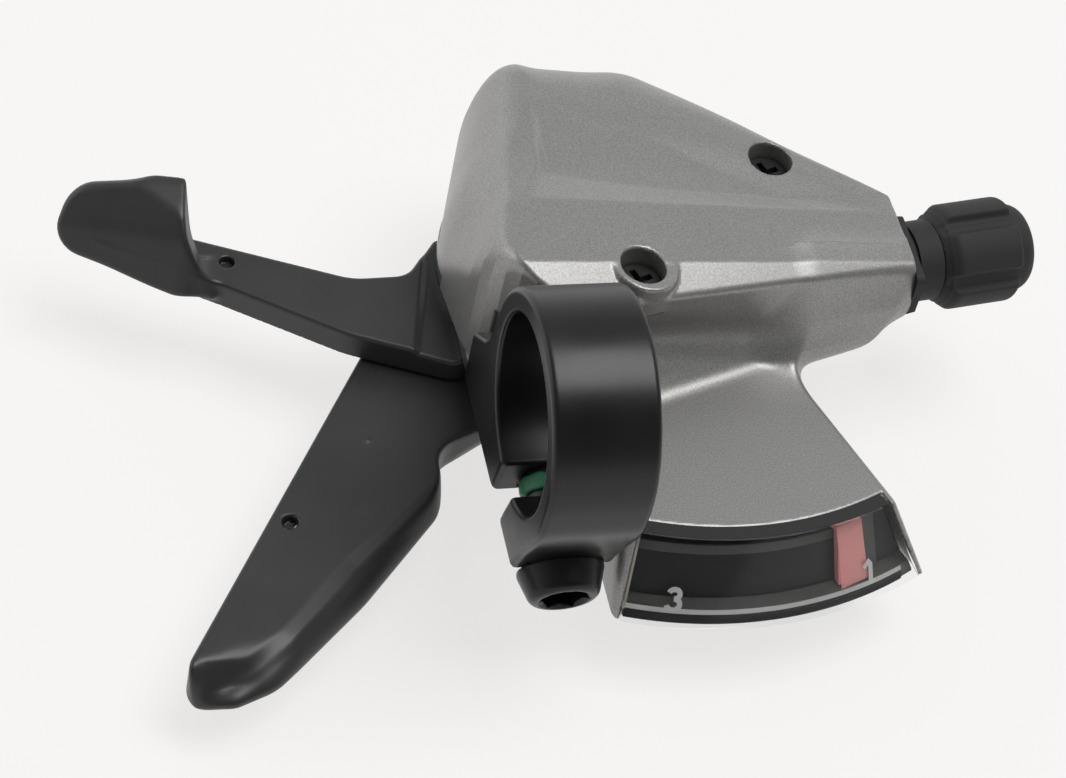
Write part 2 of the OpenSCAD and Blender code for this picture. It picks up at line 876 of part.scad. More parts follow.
// the trigger's arm from its root to its paddle
module trigger_lever() {
  color([0.05, 0.05, 0.052])
    difference() {
      union() {
        slab(trigger_z0, trigger_z1) trigger_outline();
        trigger_paddle();
      }
      translate([axle_x, axle_y, trigger_z0 - 1]) cylinder(r = 15.5, h = 20, $fn = 96);
      // room under the base plate at both ends of the travel
      for (a = [0, -trigger_deg])
        translate([axle_x, axle_y, trigger_root_z1])
          rotate([0, 0, a])
            translate([-plate_r - 0.4, -60, 0])
              cube([100, 120, 20]);
      slab(release_z0, release_z1)
        polygon(trigger_core);
      translate([-30.7, 41, trigger_z1 - 1]) cylinder(r = 0.9, h = 2);
    }
}

module trigger_outline() {
  polygon(rounded([
    [2, 44.5, 0.5], [-4.9, 44, 1], [-9.3, 38, 3], [-16, 37.8, 8], [-34.6, 45.3, 3], [-42, 49.5, 4],
    [-49.2, 47, 2.4], [-34.6, 38, 20], [-18.5, 28.2, 14], [-6, 24, 2], [2, 27, 0.5]
  ]));
}

// the finger paddle: a wall that leans forward and rises over the arm's outer end
module trigger_paddle() {
  lean = 22;
  thick = 3.2;
  length = 15.6;
  wall_h = trigger_z1 - trigger_z0 + paddle_h - 0.3;
  translate([-36, 39.8, trigger_z0 + 0.3])
    rotate([0, 0, 149])
      rotate([90 + lean, 0, 0])
        translate([0, 0, -thick])
          linear_extrude(thick)
            polygon(rounded([
              [-0.5, 0, 0.3], [length, 0, 3.5],
              [length - 0.8, wall_h / cos(lean), 5], [1.8, wall_h / cos(lean), 2]
            ]));
}

module trigger_spring() {
  color([0.7, 0.7, 0.72])
    translate([axle_x, axle_y, lever_z1 + 0.15 + spring_wire / 2])
      coil(5.8, spring_wire, 1.375, spring_wire + 0.05);
}

thumb_core = [[9, 44], [-12, 27], [-28, 4], [-22, 0], [-10, 15], [17, 29]];

module lever_plate() {
  ear = polar(axle, drive_r, drive_deg);
  color([0.66, 0.69, 0.72])
    difference() {
      slab(lever_z0, lever_z1) {
        translate(axle) circle(9);
        polygon(thumb_core);
        bar(axle, ear, 2.4);
      }
      translate([axle_x, axle_y, lever_z0 - 1]) cylinder(r = axle_r + run_gap, h = core_h + 2);
      translate(concat(ear, [lever_z0 - 1])) cylinder(r = drive_pin_r + fit_gap, h = core_h + 2);
    }
}

// the thumb lever: a broad arm with a skirt, hollow below, and a cup around the axle
module thumb_lever() {
  skin = 2.2;
  root_r = 15;
  cup_r = 11;
  color([0.05, 0.05, 0.052])
    difference() {
      union() {
        difference() {
          slab(thumb_z0, thumb_z1) thumb_outline();
          translate([axle_x, axle_y, lever_z0]) cylinder(r = root_r, h = 20, $fn = 96);
          slab(thumb_z0 - 1, lever_z0 - 1) thumb_hollow();
          thumb_sweep([-20.5, -5.3], 225, 34, 1.3);
          thumb_sweep([-39, -18.4], 159.5, 18, 2.2);
        }
        translate([axle_x, axle_y, hub_z0]) cylinder(r = cup_r, h = lever_z0 - hub_z0);
      }
      translate([axle_x, axle_y, hub_z0 + 1]) cylinder(r = cup_r - skin, h = lever_z0 - hub_z0);
      translate([axle_x, axle_y, hub_z0 - 1]) cylinder(r = axle_r + run_gap, h = 20);
      slab(lever_z0, lever_z1) polygon(thumb_core);
      translate([-28.1, 4.8, thumb_z1 - 1.2]) cylinder(r = 0.9, h = 2);
    }
}

// the underside swept up at 45 degrees to a thin edge
module thumb_sweep(at, deg, length, edge_h) {
  translate([at[0], at[1], thumb_z1 - edge_h])
    rotate([0, 0, deg])
      rotate([45, 0, 0])
        translate([-length / 2, -12, -20])
          cube([length, 24, 20]);
}

module thumb_outline() {
  polygon(rounded([
    [14, 26.6, 2], [14, 48.4, 2], [5, 46.6, 6], [-13, 34, 6], [-42.8, -14.8, 3], [-38.6, -19.2, 4],
    [-32.4, -15.9, 8], [-20.5, -5.2, 30], [-9.8, 6.6, 4], [-9.3, 14.6, 4], [-2, 17.6, 5]
  ]));
}

module thumb_hollow() {
  polygon(rounded([
    [-14.5, 17, 3], [-19, 22, 3], [-39.2, -12, 2], [-35.6, -15, 2], [-21, -2.6, 10], [-13, 6.4, 3]
  ]));
}

module lever_spring() {
  color([0.7, 0.7, 0.72])
    translate([axle_x, axle_y, hub_z0 + 1.65])
      coil(6.5, 1, 1.5, 1.12);
}

module drive_pawl() {
  eye = polar(axle, drive_r, drive_deg);
  nose = polar(axle, ratchet_r + 0.9, drive_deg - 26);
  color([0.6, 0.62, 0.64])
    difference() {
      slab(ratchet_z0 + pawl_gap, drum_z0 - pawl_gap) {
        translate(eye) circle(drive_eye_r);
        bar(eye, polar(axle, ratchet_r + 1.9, drive_deg - 14), 1.2);
        bar(polar(axle, ratchet_r + 1.9, drive_deg - 14), nose, 0.6);
      }
      translate(concat(eye, [ratchet_z0 - 1])) cylinder(r = drive_pin_r + run_gap, h = ratchet_h + 2);
    }
}

module drive_pawl_pin() {
  color([0.62, 0.64, 0.66])
    translate(concat(polar(axle, drive_r, drive_deg), [lever_z0]))
      cylinder(r = drive_pin_r, h = drum_z0 - pawl_gap - lever_z0);
}

module drive_pawl_spring() {
  color([0.7, 0.7, 0.72])
    translate(concat(polar(axle, drive_r, drive_deg), [plate_z1 + 0.45]))
      coil(1.75, 0.3, 1.5, 0.42);
}

module position_pawl() {
  elbow = polar(axle, ratchet_r + 2.6, nose_deg - 5);
  nose = polar(axle, ratchet_r + 0.85, nose_deg);
  color([0.6, 0.62, 0.64])
    difference() {
      slab(ratchet_z0 + pawl_gap, drum_z0 - pawl_gap) {
        translate(pawl_pivot) circle(2.6);
        bar(pawl_pivot, elbow, 1.3);
        bar(elbow, nose, 0.6);
      }
      translate(concat(pawl_pivot, [ratchet_z0 - 1])) cylinder(r = pawl_pin_r + fit_gap, h = ratchet_h + 2);
    }
}

module pawl_shaft() {
  color([0.62, 0.64, 0.66])
    translate(concat(pawl_pivot, [release_z0]))
      cylinder(r = pawl_pin_r, h = drum_z0 + 2.4 - release_z0);
}

module release_arm() {
  color([0.6, 0.62, 0.64])
    difference() {
      slab(release_z0, release_z1) {
        translate(pawl_pivot) circle(2.6);
        bar(pawl_pivot, polar(pawl_pivot, release_len, pawl_deg + 180), 1.2);
      }
      translate(concat(pawl_pivot, [release_z0 - 1])) cylinder(r = pawl_pin_r + fit_gap, h = core_h + 2);
    }
}

module pawl_spring() {
  color([0.7, 0.7, 0.72])
    translate(concat(pawl_pivot, [drum_z0 + 0.4]))
      coil(2.1, 0.4, 2.5, 0.6);
}

// the needle: a slotted arm over the drum, a drop behind the rear wall and the red pointer
module needle() {
  slot_deg = atan2(polar(axle, pin_r, pin_deg)[1] - pivot[1], polar(axle, pin_r, pin_deg)[0] - pivot[0]);
  reach = pivot_dist + pin_r;
  half_w = 1.5;
  low_z0 = needle_low_z1 - needle_low_h;
  tip_z0 = hood_floor_z + 1.7;
  tip_out = window_t + 0.5;
  tip_w = 1.45;
  tip_deg = 1.9;
  color([0.75, 0.05, 0.04])
    difference() {
      union() {
        slab(needle_z1 - needle_h, needle_z1) {
          translate(pivot) circle(3);
          bar(pivot, polar(pivot, reach + 0.6, slot_deg), 2.5);
          bar(pivot, polar(pivot, drop_r + drop_t - half_w, needle_rest_deg), half_w);
        }
        translate([pivot[0], pivot[1], 0])
          rotate([0, 0, needle_rest_deg]) {
            translate([drop_r, -half_w, low_z0])
              cube([drop_t, 2 * half_w, needle_z1 - low_z0]);
            translate([drop_r, -half_w, low_z0])
              cube([16, 2 * half_w, needle_low_h]);
            translate([drop_r, -tip_w, low_z0])
              cube([window_out(low_z0) - tip_out - 0.9 - drop_r, 2 * tip_w, needle_low_h]);
          }
        sector(needle_rest_deg - tip_deg, needle_rest_deg + tip_deg)
          polygon([
            [window_out(needle_low_z1) - tip_out - 0.9, needle_low_z1],
            [window_out(needle_low_z1) - tip_out, needle_low_z1],
            [window_out(tip_z0) - tip_out, tip_z0], [window_out(tip_z0) - tip_out - 0.9, tip_z0]
          ]);
      }
      translate([pivot[0], pivot[1], needle_z1 - 5]) cylinder(r = 1.2 + run_gap, h = 8);
      // slot for the drum's pin
      slab(needle_z1 - 5, needle_z1 + 1)
        bar(polar(pivot, reach - 1, slot_deg), polar(pivot, reach + 0.5, slot_deg), pin_rad + 0.15);
    }
}

module needle_screw() {
  head_z1 = needle_z1 - needle_h - 0.05;
  color([0.6, 0.62, 0.64])
    translate([pivot[0], pivot[1], 0])
      difference() {
        union() {
          translate([0, 0, head_z1 - 1.2]) cylinder(r = 2.2, h = 1.2);
          translate([0, 0, head_z1 - 0.2]) cylinder(r = 1.2, h = needle_z1 + 2.2 - head_z1);
        }
        translate([-3, -0.3, head_z1 - 1.7])
          cube([6, 0.6, 1]);
      }
}

clamp_band();
clamp_bolt();
foot_screws();
base_plate();
cover_posts();
cover_screws();
top_cover();
end_cap();
indicator_window();
indicator_dial();
indicator_case();
main_axle();
axle_washer();
axle_nut();
drum_washer();
cable_drum();
ratchet_plate();
drum_spring();
release_plate();
trigger_lever();
trigger_spring();
lever_plate();
thumb_lever();
lever_spring();
drive_pawl();
drive_pawl_pin();
drive_pawl_spring();
position_pawl();
pawl_shaft();
release_arm();
pawl_spring();
needle();
needle_screw();
adjuster_barrel();
adjuster_collar();
adjuster_spring();
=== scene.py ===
"""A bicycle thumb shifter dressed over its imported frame.

Sizes are in millimetres in the frame's own axes: +X runs along the handlebar to the adjuster,
+Y forward and +Z up, with the origin in the middle of the clamp's bore. Meshes are made in metres.
"""
import json
import logging
import math
from dataclasses import dataclass
from enum import Enum
from functools import reduce
from typing import Callable, Sequence

import bpy
import numpy as np
from mathutils import Matrix, Vector


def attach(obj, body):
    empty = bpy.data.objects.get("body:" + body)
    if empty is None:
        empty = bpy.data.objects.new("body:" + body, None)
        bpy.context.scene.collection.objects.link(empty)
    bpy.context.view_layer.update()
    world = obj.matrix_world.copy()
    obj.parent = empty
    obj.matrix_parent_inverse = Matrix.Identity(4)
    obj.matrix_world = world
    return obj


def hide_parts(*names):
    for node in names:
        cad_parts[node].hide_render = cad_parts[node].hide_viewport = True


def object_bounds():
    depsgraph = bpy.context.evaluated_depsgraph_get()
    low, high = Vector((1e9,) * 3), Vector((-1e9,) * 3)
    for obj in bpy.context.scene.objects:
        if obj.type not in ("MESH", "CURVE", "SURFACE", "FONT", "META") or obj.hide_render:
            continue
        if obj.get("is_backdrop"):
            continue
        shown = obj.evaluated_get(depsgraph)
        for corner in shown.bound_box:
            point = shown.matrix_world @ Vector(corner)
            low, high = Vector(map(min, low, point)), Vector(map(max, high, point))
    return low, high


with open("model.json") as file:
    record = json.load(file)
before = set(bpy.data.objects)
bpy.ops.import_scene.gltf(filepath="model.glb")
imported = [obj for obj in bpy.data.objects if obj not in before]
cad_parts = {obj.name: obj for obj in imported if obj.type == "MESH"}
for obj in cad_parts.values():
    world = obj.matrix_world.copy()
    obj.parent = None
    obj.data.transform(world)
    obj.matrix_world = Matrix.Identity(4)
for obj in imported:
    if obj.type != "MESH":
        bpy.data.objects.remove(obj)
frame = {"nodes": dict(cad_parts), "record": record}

LOG = logging.getLogger("shifter")
MM = 0.001
TINY = 1e-9
DIAGONAL = 0.707
SIXTH = math.pi / 3.0

Array = np.ndarray
Places = Sequence[Array]
Field = Callable[[Places], Array]
Rgb = tuple[float, float, float]
Spot = tuple[float, float]
Place = tuple[float, float, float]


# Shapes as distance fields

def common(*fields: Array) -> Array:
    """What lies inside all of the fields, with sharp edges."""
    return reduce(np.maximum, fields)


def together(*fields: Array) -> Array:
    """What lies inside any of the fields, with sharp corners."""
    return reduce(np.minimum, fields)


def without(field: Array, hole: Array) -> Array:
    """Takes a hole out of a field with a sharp edge."""
    return np.maximum(field, -hole)


def blunt_max(a: Array, b: Array, k: float | Array) -> Array:
    """Cuts one field with another and rounds the crease over a width k."""
    return np.maximum(a, b) + np.maximum(k - np.abs(a - b), 0.0) ** 2 / (4.0 * k)


def blunt_min(a: Array, b: Array, k: float | Array) -> Array:
    """Joins one field to another with a fillet of width k."""
    return -blunt_max(-a, -b, k)


def ramp(u: Array, k: float) -> Array:
    """Zero below u = 0 and u above it, with a bend of width k."""
    return 0.5 * (u + np.sqrt(u * u + k * k))


def flank(u: Array, k: float) -> Array:
    """A straight rise from 0 at u = 0 to 1 at u = 1, with bends of width k."""
    return ramp(u, k) - ramp(u - 1.0, k)


def off_axis(x: Array, y: Array, spot: Sequence[float]) -> Array:
    """Distance from an upright axis through a spot."""
    return np.hypot(x - spot[0], y - spot[1])


@dataclass(frozen=True)
class Fade:
    """A value that goes smoothly from base to base + gain. A negative length runs backwards."""

    start: float
    length: float
    base: float = 0.0
    gain: float = 1.0

    def __call__(self, u: Array) -> Array:
        """The value at u."""
        t = np.clip((u - self.start) / self.length, 0.0, 1.0)
        return self.base + self.gain * (t * t * (3.0 - 2.0 * t))


@dataclass(frozen=True)
class Line:
    """A straight line: its height at one place and its rise from there."""

    at: float
    height: float
    rise: float

    def __call__(self, u: Array) -> Array:
        """The height at u."""
        return self.height + self.rise * (u - self.at)


@dataclass(frozen=True)
class Plane:
    """A slanted cut through a point. The field is negative behind it."""

    facing: Place
    point: Place

    def __call__(self, at: Places) -> Array:
        """The field of what lies behind the plane."""
        return sum(n * (v - p) for n, v, p in zip(self.facing, at, self.point))


@dataclass(frozen=True)
class Outline:
    """A closed plane outline, each corner given as x, y and its radius."""

    corners: tuple[Place, ...]
    arc_steps: int = 8
    straight: float = 1.55

    def points(self) -> Array:
        """Walks round the outline with its corners rounded.

        Returns:
            The points as rows of x and y.
        """
        found: list[Array] = []
        count = len(self.corners)
        for i, (x, y, radius) in enumerate(self.corners):
            here = np.array((x, y))
            back = np.array(self.corners[i - 1][:2]) - here
            ahead = np.array(self.corners[(i + 1) % count][:2]) - here
            back, ahead = back / np.hypot(*back), ahead / np.hypot(*ahead)
            half = 0.5 * math.acos(float(np.clip(back @ ahead, -1.0, 1.0)))
            if radius <= 0.0 or half > self.straight:
                found.append(here)
                continue
            middle = (back + ahead) / np.hypot(*(back + ahead))
            centre = here + middle * radius / math.sin(half)
            spread = math.pi / 2.0 - half
            side = np.array((-middle[1], middle[0]))
            side = side if back @ side > 0.0 else -side
            for f in np.linspace(spread, -spread, self.arc_steps + 1):
                found.append(centre - radius * (middle * math.cos(f) - side * math.sin(f)))
        return np.array(found)

    def distance(self, x: Array, y: Array) -> Array:
        """Measures how far places lie from the outline.

        Args:
            x: first coordinates.
            y: second coordinates.

        Returns:
            The distance, negative inside.
        """
        x, y = np.asarray(x, float), np.asarray(y, float)
        near = np.full(np.broadcast(x, y).shape, np.inf)
        inside = np.zeros(near.shape, bool)
        line = self.points()
        for (ax, ay), (bx, by) in zip(line, np.roll(line, -1, axis=0)):
            ex, ey = bx - ax, by - ay
            length = ex * ex + ey * ey
            if length < TINY * MM:
                continue
            px, py = x - ax, y - ay
            t = np.clip((px * ex + py * ey) / length, 0.0, 1.0)
            near = np.minimum(near, (px - ex * t) ** 2 + (py - ey * t) ** 2)
            if ay != by:
                inside ^= ((ay > y) != (by > y)) & (px < ex * py / ey)
        return np.where(inside, -1.0, 1.0) * np.sqrt(near)


@dataclass(frozen=True)
class Block:
    """The box of space in which a field is sampled, and how its skin is evened out."""

    low: Place
    high: Place
    step: float
    rounds: int = 3
    puts: int = 2
    even: float = 0.6
    flattest: float = 0.05
    furthest: float = 0.7
    reach: float = 0.02

    def skin(self, shape: Field) -> tuple[Array, Array, Array]:
        """Covers a field's zero surface with quads that lie on it.

        Args:
            shape: the field, negative inside, whose surface lies within the box.

        Returns:
            The points, the quads and the normals at the points.
        """
        axes = [np.arange(a, b + self.step, self.step) for a, b in zip(self.low, self.high)]
        value = shape(np.meshgrid(*axes, indexing="ij", sparse=True))
        value = np.broadcast_to(value, [len(axis) for axis in axes])
        inside = value < 0.0
        points, label = self._cell_points(value, inside)
        quads = np.concatenate([self._edge_quads(inside, label, axis) for axis in range(3)])
        edges = np.concatenate([quads[:, [i, (i + 1) % 4]] for i in range(4)])
        first, second = edges.T
        count = len(points)
        degree = np.bincount(edges.ravel(), minlength=count).astype(float)
        most = self.furthest * self.step
        for _ in range(self.rounds):
            mean = np.stack([
                (np.bincount(first, c[second], count) + np.bincount(second, c[first], count)) / degree
                for c in points.T
            ], axis=1)
            points = points + self.even * (mean - points)
            for _ in range(self.puts):
                level, slope = self._slope(shape, points)
                shift = level / np.maximum((slope ** 2).sum(axis=1), self.flattest)
                points = points - np.clip(shift, -most, most)[:, None] * slope
        slope = self._slope(shape, points)[1]
        return points, quads, slope / np.maximum(np.linalg.norm(slope, axis=1), TINY)[:, None]

    def _cell_points(self, value: Array, inside: Array) -> tuple[Array, Array]:
        """Puts a point into each cell that the surface passes through.

        Args:
            value: the field on the grid.
            inside: which grid points are inside.

        Returns:
            The points, and the number of each cell's point.
        """
        size = value.shape
        filled = sum(
            inside[i:size[0] - 1 + i, j:size[1] - 1 + j, k:size[2] - 1 + k].astype(np.int8)
            for i in (0, 1) for j in (0, 1) for k in (0, 1)
        )
        mixed = (filled > 0) & (filled < 8)
        cells = np.argwhere(mixed)
        label = np.full(mixed.shape, -1)
        label[mixed] = np.arange(len(cells))
        total, hits = np.zeros((len(cells), 3)), np.zeros(len(cells))
        for axis in range(3):
            unit = np.eye(3, dtype=int)[axis]
            others = [a for a in range(3) if a != axis]
            for i, j in ((0, 0), (0, 1), (1, 0), (1, 1)):
                start = np.zeros(3, int)
                start[others[0]], start[others[1]] = i, j
                a = value[tuple((cells + start).T)]
                b = value[tuple((cells + start + unit).T)]
                crossed = (a < 0.0) != (b < 0.0)
                share = np.where(crossed, a / np.where(crossed, a - b, 1.0), 0.0)
                total += crossed[:, None] * (start + unit * share[:, None])
                hits += crossed
        return np.array(self.low) + self.step * (cells + total / hits[:, None]), label

    @staticmethod
    def _edge_quads(inside: Array, label: Array, axis: int) -> Array:
        """Makes the quads round the grid edges of one direction.

        Args:
            inside: which grid points are inside.
            label: the number of each cell's point.
            axis: the direction of the edges.

        Returns:
            The quads as rows of four point numbers, facing outwards.
        """
        first = np.moveaxis(inside, axis, 0)
        cell = np.moveaxis(label, axis, 0)
        near, far = first[:-1, 1:-1, 1:-1], first[1:, 1:-1, 1:-1]
        found = []
        for leaving in (True, False):
            i, j, k = np.nonzero((near & ~far) if leaving else (~near & far))
            loop = [cell[i, j, k], cell[i, j + 1, k], cell[i, j + 1, k + 1], cell[i, j, k + 1]]
            outward = leaving if axis != 1 else not leaving
            found.append(np.stack(loop if outward else loop[::-1], axis=1))
        return np.concatenate(found)

    def _slope(self, shape: Field, points: Array) -> tuple[Array, Array]:
        """Samples a field and its gradient.

        Args:
            shape: the field.
            points: the places, as rows.

        Returns:
            The field's values and gradients.
        """
        steps = self.reach * np.eye(3)
        grad = [shape((points + d).T) - shape((points - d).T) for d in steps]
        return shape(points.T), np.stack(grad, axis=1) / (2.0 * self.reach)


@dataclass(frozen=True)
class Axes:
    """A frame of its own for a piece: an origin and three unit directions."""

    origin: Place
    along: Place
    across: Place
    over: Place

    def local(self, at: Places) -> Places:
        """Gives places in this frame's own coordinates: along, across and over."""
        return [Plane(way, self.origin)(at) for way in (self.along, self.across, self.over)]


CABLE = Axes(
    (14.6614, 25.2118, -11.0), (0.990983, 0.133986, 0.0), (-0.133986, 0.990983, 0.0), (0.0, 0.0, 1.0))


# Finishes

def tune(node: bpy.types.Node, values: dict[str, object]) -> bpy.types.Node:
    """Sets a node's sockets.

    Args:
        node: the node.
        values: the sockets' names and values.

    Returns:
        The node.
    """
    for name, value in values.items():
        node.inputs[name].default_value = value
    return node


class Grain(Enum):
    """How a finish's surface is broken up."""

    FLAKE = "metal flake in paint"
    MOULDED = "fine spark texture of a mould"
    SATIN = "satin coat with a soft mottle"
    ROLLED = "rolled or turned metal"
    CLEAR = "clear moulding"


@dataclass(frozen=True)
class Finish:
    """One material of the shifter."""

    name: str
    dark: Rgb
    light: Rgb
    grain: Grain
    roughness: Spot
    metallic: float = 0.0
    specular: float = 0.5
    bump: float = 0.0
    size: float = 0.3
    transmission: float = 0.0
    ior: float = 1.5
    fine_detail: float = 3.0
    mottle: float = 9.0
    mottle_detail: float = 4.0
    relief: float = 0.02
    flake_spread: float = 0.16
    mottle_spread: float = 0.25
    dull_span: Spot = (0.3, 0.7)
    roll_stretch: Place = (0.15, 1.0, 1.0)

    def material(self) -> bpy.types.Material:
        """Builds the node material, or finds it if it is already there.

        Returns:
            The material.
        """
        known = bpy.data.materials.get(self.name)
        if known:
            return known
        made = bpy.data.materials.new(self.name)
        made.use_nodes = True
        nodes, link = made.node_tree.nodes, made.node_tree.links.new
        shader = tune(nodes["Principled BSDF"], {
            "Metallic": self.metallic, "Specular IOR Level": self.specular, "IOR": self.ior,
            "Transmission Weight": self.transmission})
        place = nodes.new("ShaderNodeTexCoord").outputs["Object"]
        fine = tune(nodes.new("ShaderNodeTexNoise"), {
            "Scale": 1.0 / (self.size * MM), "Detail": self.fine_detail})
        broad = tune(nodes.new("ShaderNodeTexNoise"), {
            "Scale": 1.0 / (self.mottle * MM), "Detail": self.mottle_detail})
        link(place, broad.inputs["Vector"])
        if self.grain is Grain.ROLLED:
            stretch = tune(nodes.new("ShaderNodeMapping"), {"Scale": self.roll_stretch})
            link(place, stretch.inputs["Vector"])
            place = stretch.outputs["Vector"]
        link(place, fine.inputs["Vector"])
        flake = self.grain is Grain.FLAKE
        colour = nodes.new("ShaderNodeValToRGB")
        spread = self.flake_spread if flake else self.mottle_spread
        for stop, spot, shade in zip(
                colour.color_ramp.elements, (0.5 - spread, 0.5 + spread), (self.dark, self.light)):
            stop.position, stop.color = spot, (*shade, 1.0)
        link((fine if flake else broad).outputs["Fac"], colour.inputs["Fac"])
        link(colour.outputs["Color"], shader.inputs["Base Color"])
        dull = tune(nodes.new("ShaderNodeMapRange"), {
            "From Min": self.dull_span[0], "From Max": self.dull_span[1],
            "To Min": self.roughness[0], "To Max": self.roughness[1]})
        link(broad.outputs["Fac"], dull.inputs["Value"])
        link(dull.outputs["Result"], shader.inputs["Roughness"])
        if self.bump > 0.0:
            relief = tune(nodes.new("ShaderNodeBump"), {"Strength": self.bump, "Distance": self.relief * MM})
            link(fine.outputs["Fac"], relief.inputs["Height"])
            link(relief.outputs["Normal"], shader.inputs["Normal"])
        return made


class Finishes:
    """Every finish that the shifter carries."""

    COVER = Finish("grey_flake_paint", (0.26, 0.256, 0.248), (0.37, 0.364, 0.352), Grain.FLAKE,
                   (0.36, 0.385), metallic=0.6, size=0.2, bump=0.05)
    CLAMP = Finish("satin_black_coat", (0.006, 0.006, 0.0065), (0.01, 0.01, 0.011), Grain.SATIN,
                   (0.28, 0.36), specular=0.4, size=0.25, bump=0.06)
    BOLT = Finish("black_oxide_steel", (0.012, 0.012, 0.013), (0.028, 0.028, 0.03), Grain.ROLLED,
                  (0.26, 0.36), metallic=0.6, size=0.3, bump=0.08)
    LEVER = Finish("black_lever_plastic", (0.026, 0.026, 0.026), (0.035, 0.035, 0.035), Grain.MOULDED,
                   (0.34, 0.42), size=0.22, bump=0.2)
    BLACK = Finish("black_plastic", (0.03, 0.03, 0.029), (0.042, 0.042, 0.04), Grain.MOULDED,
                   (0.36, 0.46), size=0.25, bump=0.16)
    # Also the colour of the painted shade over the window's top face.
    DIAL = Finish("dial_black", (0.006, 0.006, 0.007), (0.01, 0.01, 0.011), Grain.SATIN,
                  (0.5, 0.6), size=0.2, bump=0.05)
    CASE = Finish("display_case_grey", (0.09, 0.09, 0.085), (0.13, 0.13, 0.122), Grain.SATIN,
                  (0.45, 0.55), size=0.2, bump=0.05)
    INK = Finish("white_dial_ink", (0.72, 0.72, 0.7), (0.82, 0.82, 0.8), Grain.SATIN,
                 (0.45, 0.55), size=0.2, bump=0.05)
    # Also the colour of a painted highlight at the window's top right end.
    CREAM = Finish("cream_window_edge", (0.5, 0.46, 0.36), (0.62, 0.58, 0.47), Grain.SATIN,
                   (0.4, 0.5), size=0.2, bump=0.05)
    NEEDLE = Finish("red_needle_plastic", (1.0, 0.38, 0.37), (1.0, 0.44, 0.42), Grain.MOULDED,
                    (0.35, 0.45), size=0.3, bump=0.05)
    WINDOW = Finish("clear_window_plastic", (0.94, 0.95, 0.95), (0.98, 0.98, 0.98), Grain.CLEAR,
                    (0.02, 0.05), size=2.0, transmission=1.0, ior=1.22)
    ZINC = Finish("zinc_plated_steel", (0.5, 0.51, 0.53), (0.66, 0.67, 0.68), Grain.ROLLED,
                  (0.26, 0.38), metallic=1.0, size=0.25, bump=0.1)
    STEEL = Finish("plain_steel", (0.42, 0.42, 0.43), (0.55, 0.55, 0.55), Grain.ROLLED,
                   (0.3, 0.42), metallic=1.0, size=0.2, bump=0.12)
    SPRING = Finish("spring_wire", (0.36, 0.35, 0.33), (0.5, 0.49, 0.47), Grain.ROLLED,
                    (0.25, 0.35), metallic=1.0, size=0.15, bump=0.1)
    RESIN = Finish("drum_resin", (0.5, 0.49, 0.45), (0.6, 0.59, 0.55), Grain.MOULDED,
                   (0.4, 0.5), size=0.3, bump=0.15)
    SCREW = Finish("blackened_screw", (0.02, 0.02, 0.02), (0.045, 0.045, 0.045), Grain.ROLLED,
                   (0.35, 0.45), metallic=0.5, size=0.2, bump=0.1)
    LOCK = Finish("green_thread_lock", (0.01, 0.1, 0.045), (0.02, 0.17, 0.08), Grain.SATIN,
                  (0.3, 0.5), size=0.4, bump=0.4)


# The common workshop

class Body(Enum):
    """The bodies of the frame that carry pieces made here."""

    HOUSING = "housing"
    THUMB = "thumb"
    TRIGGER = "trigger"
    POINTER = "pointer"
    BARREL = "barrel"


class Piece:
    """Makes Blender objects from points in millimetres and puts them on their bodies."""

    def mesh(self, name: str, points: Array, faces: Sequence, finish: Finish,
             normals: Array | None = None) -> bpy.types.Object:
        """Makes one mesh object.

        Args:
            name: the object's name.
            points: its points in millimetres, as rows.
            faces: its faces as rows of point numbers.
            finish: its material.
            normals: the normals at the points of a smooth piece.

        Returns:
            The object.
        """
        smooth = normals is not None
        mesh = bpy.data.meshes.new(name)
        mesh.from_pydata((points * MM).tolist(), [], [list(map(int, face)) for face in faces])
        mesh.polygons.foreach_set("use_smooth", [smooth] * len(mesh.polygons))
        if smooth:
            mesh.normals_split_custom_set_from_vertices(normals.tolist())
        mesh.materials.append(finish.material())
        made = bpy.data.objects.new(name, mesh)
        bpy.context.scene.collection.objects.link(made)
        return made

    def moulded(self, name: str, shape: Field, block: Block, finish: Finish, body: Body,
                slot: str, *nodes: str) -> None:
        """Skins a field and puts the piece in the place of CAD nodes.

        Args:
            name: the object's name.
            shape: the field in millimetres.
            block: the box that holds it.
            finish: its material.
            body: the body that it moves with.
            slot: the name of a material slot, handed on to place.
            *nodes: the CAD nodes that it stands for.
        """
        points, quads, normals = block.skin(shape)
        self.place(self.mesh(name, points, quads, finish, normals), body, slot, *nodes)

    def place(self, made: bpy.types.Object, body: Body, slot: str, *nodes: str) -> None:
        """Puts an object on its body.

        Args:
            made: the object.
            body: the body that it moves with.
            slot: not used.
            *nodes: the CAD nodes that it stands for.
        """
        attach(made, body.value)
        if nodes:
            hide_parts(*nodes)
        LOG.info("%s on %s, %d faces", made.name, body.value, len(made.data.polygons))


# Sub-assemblies

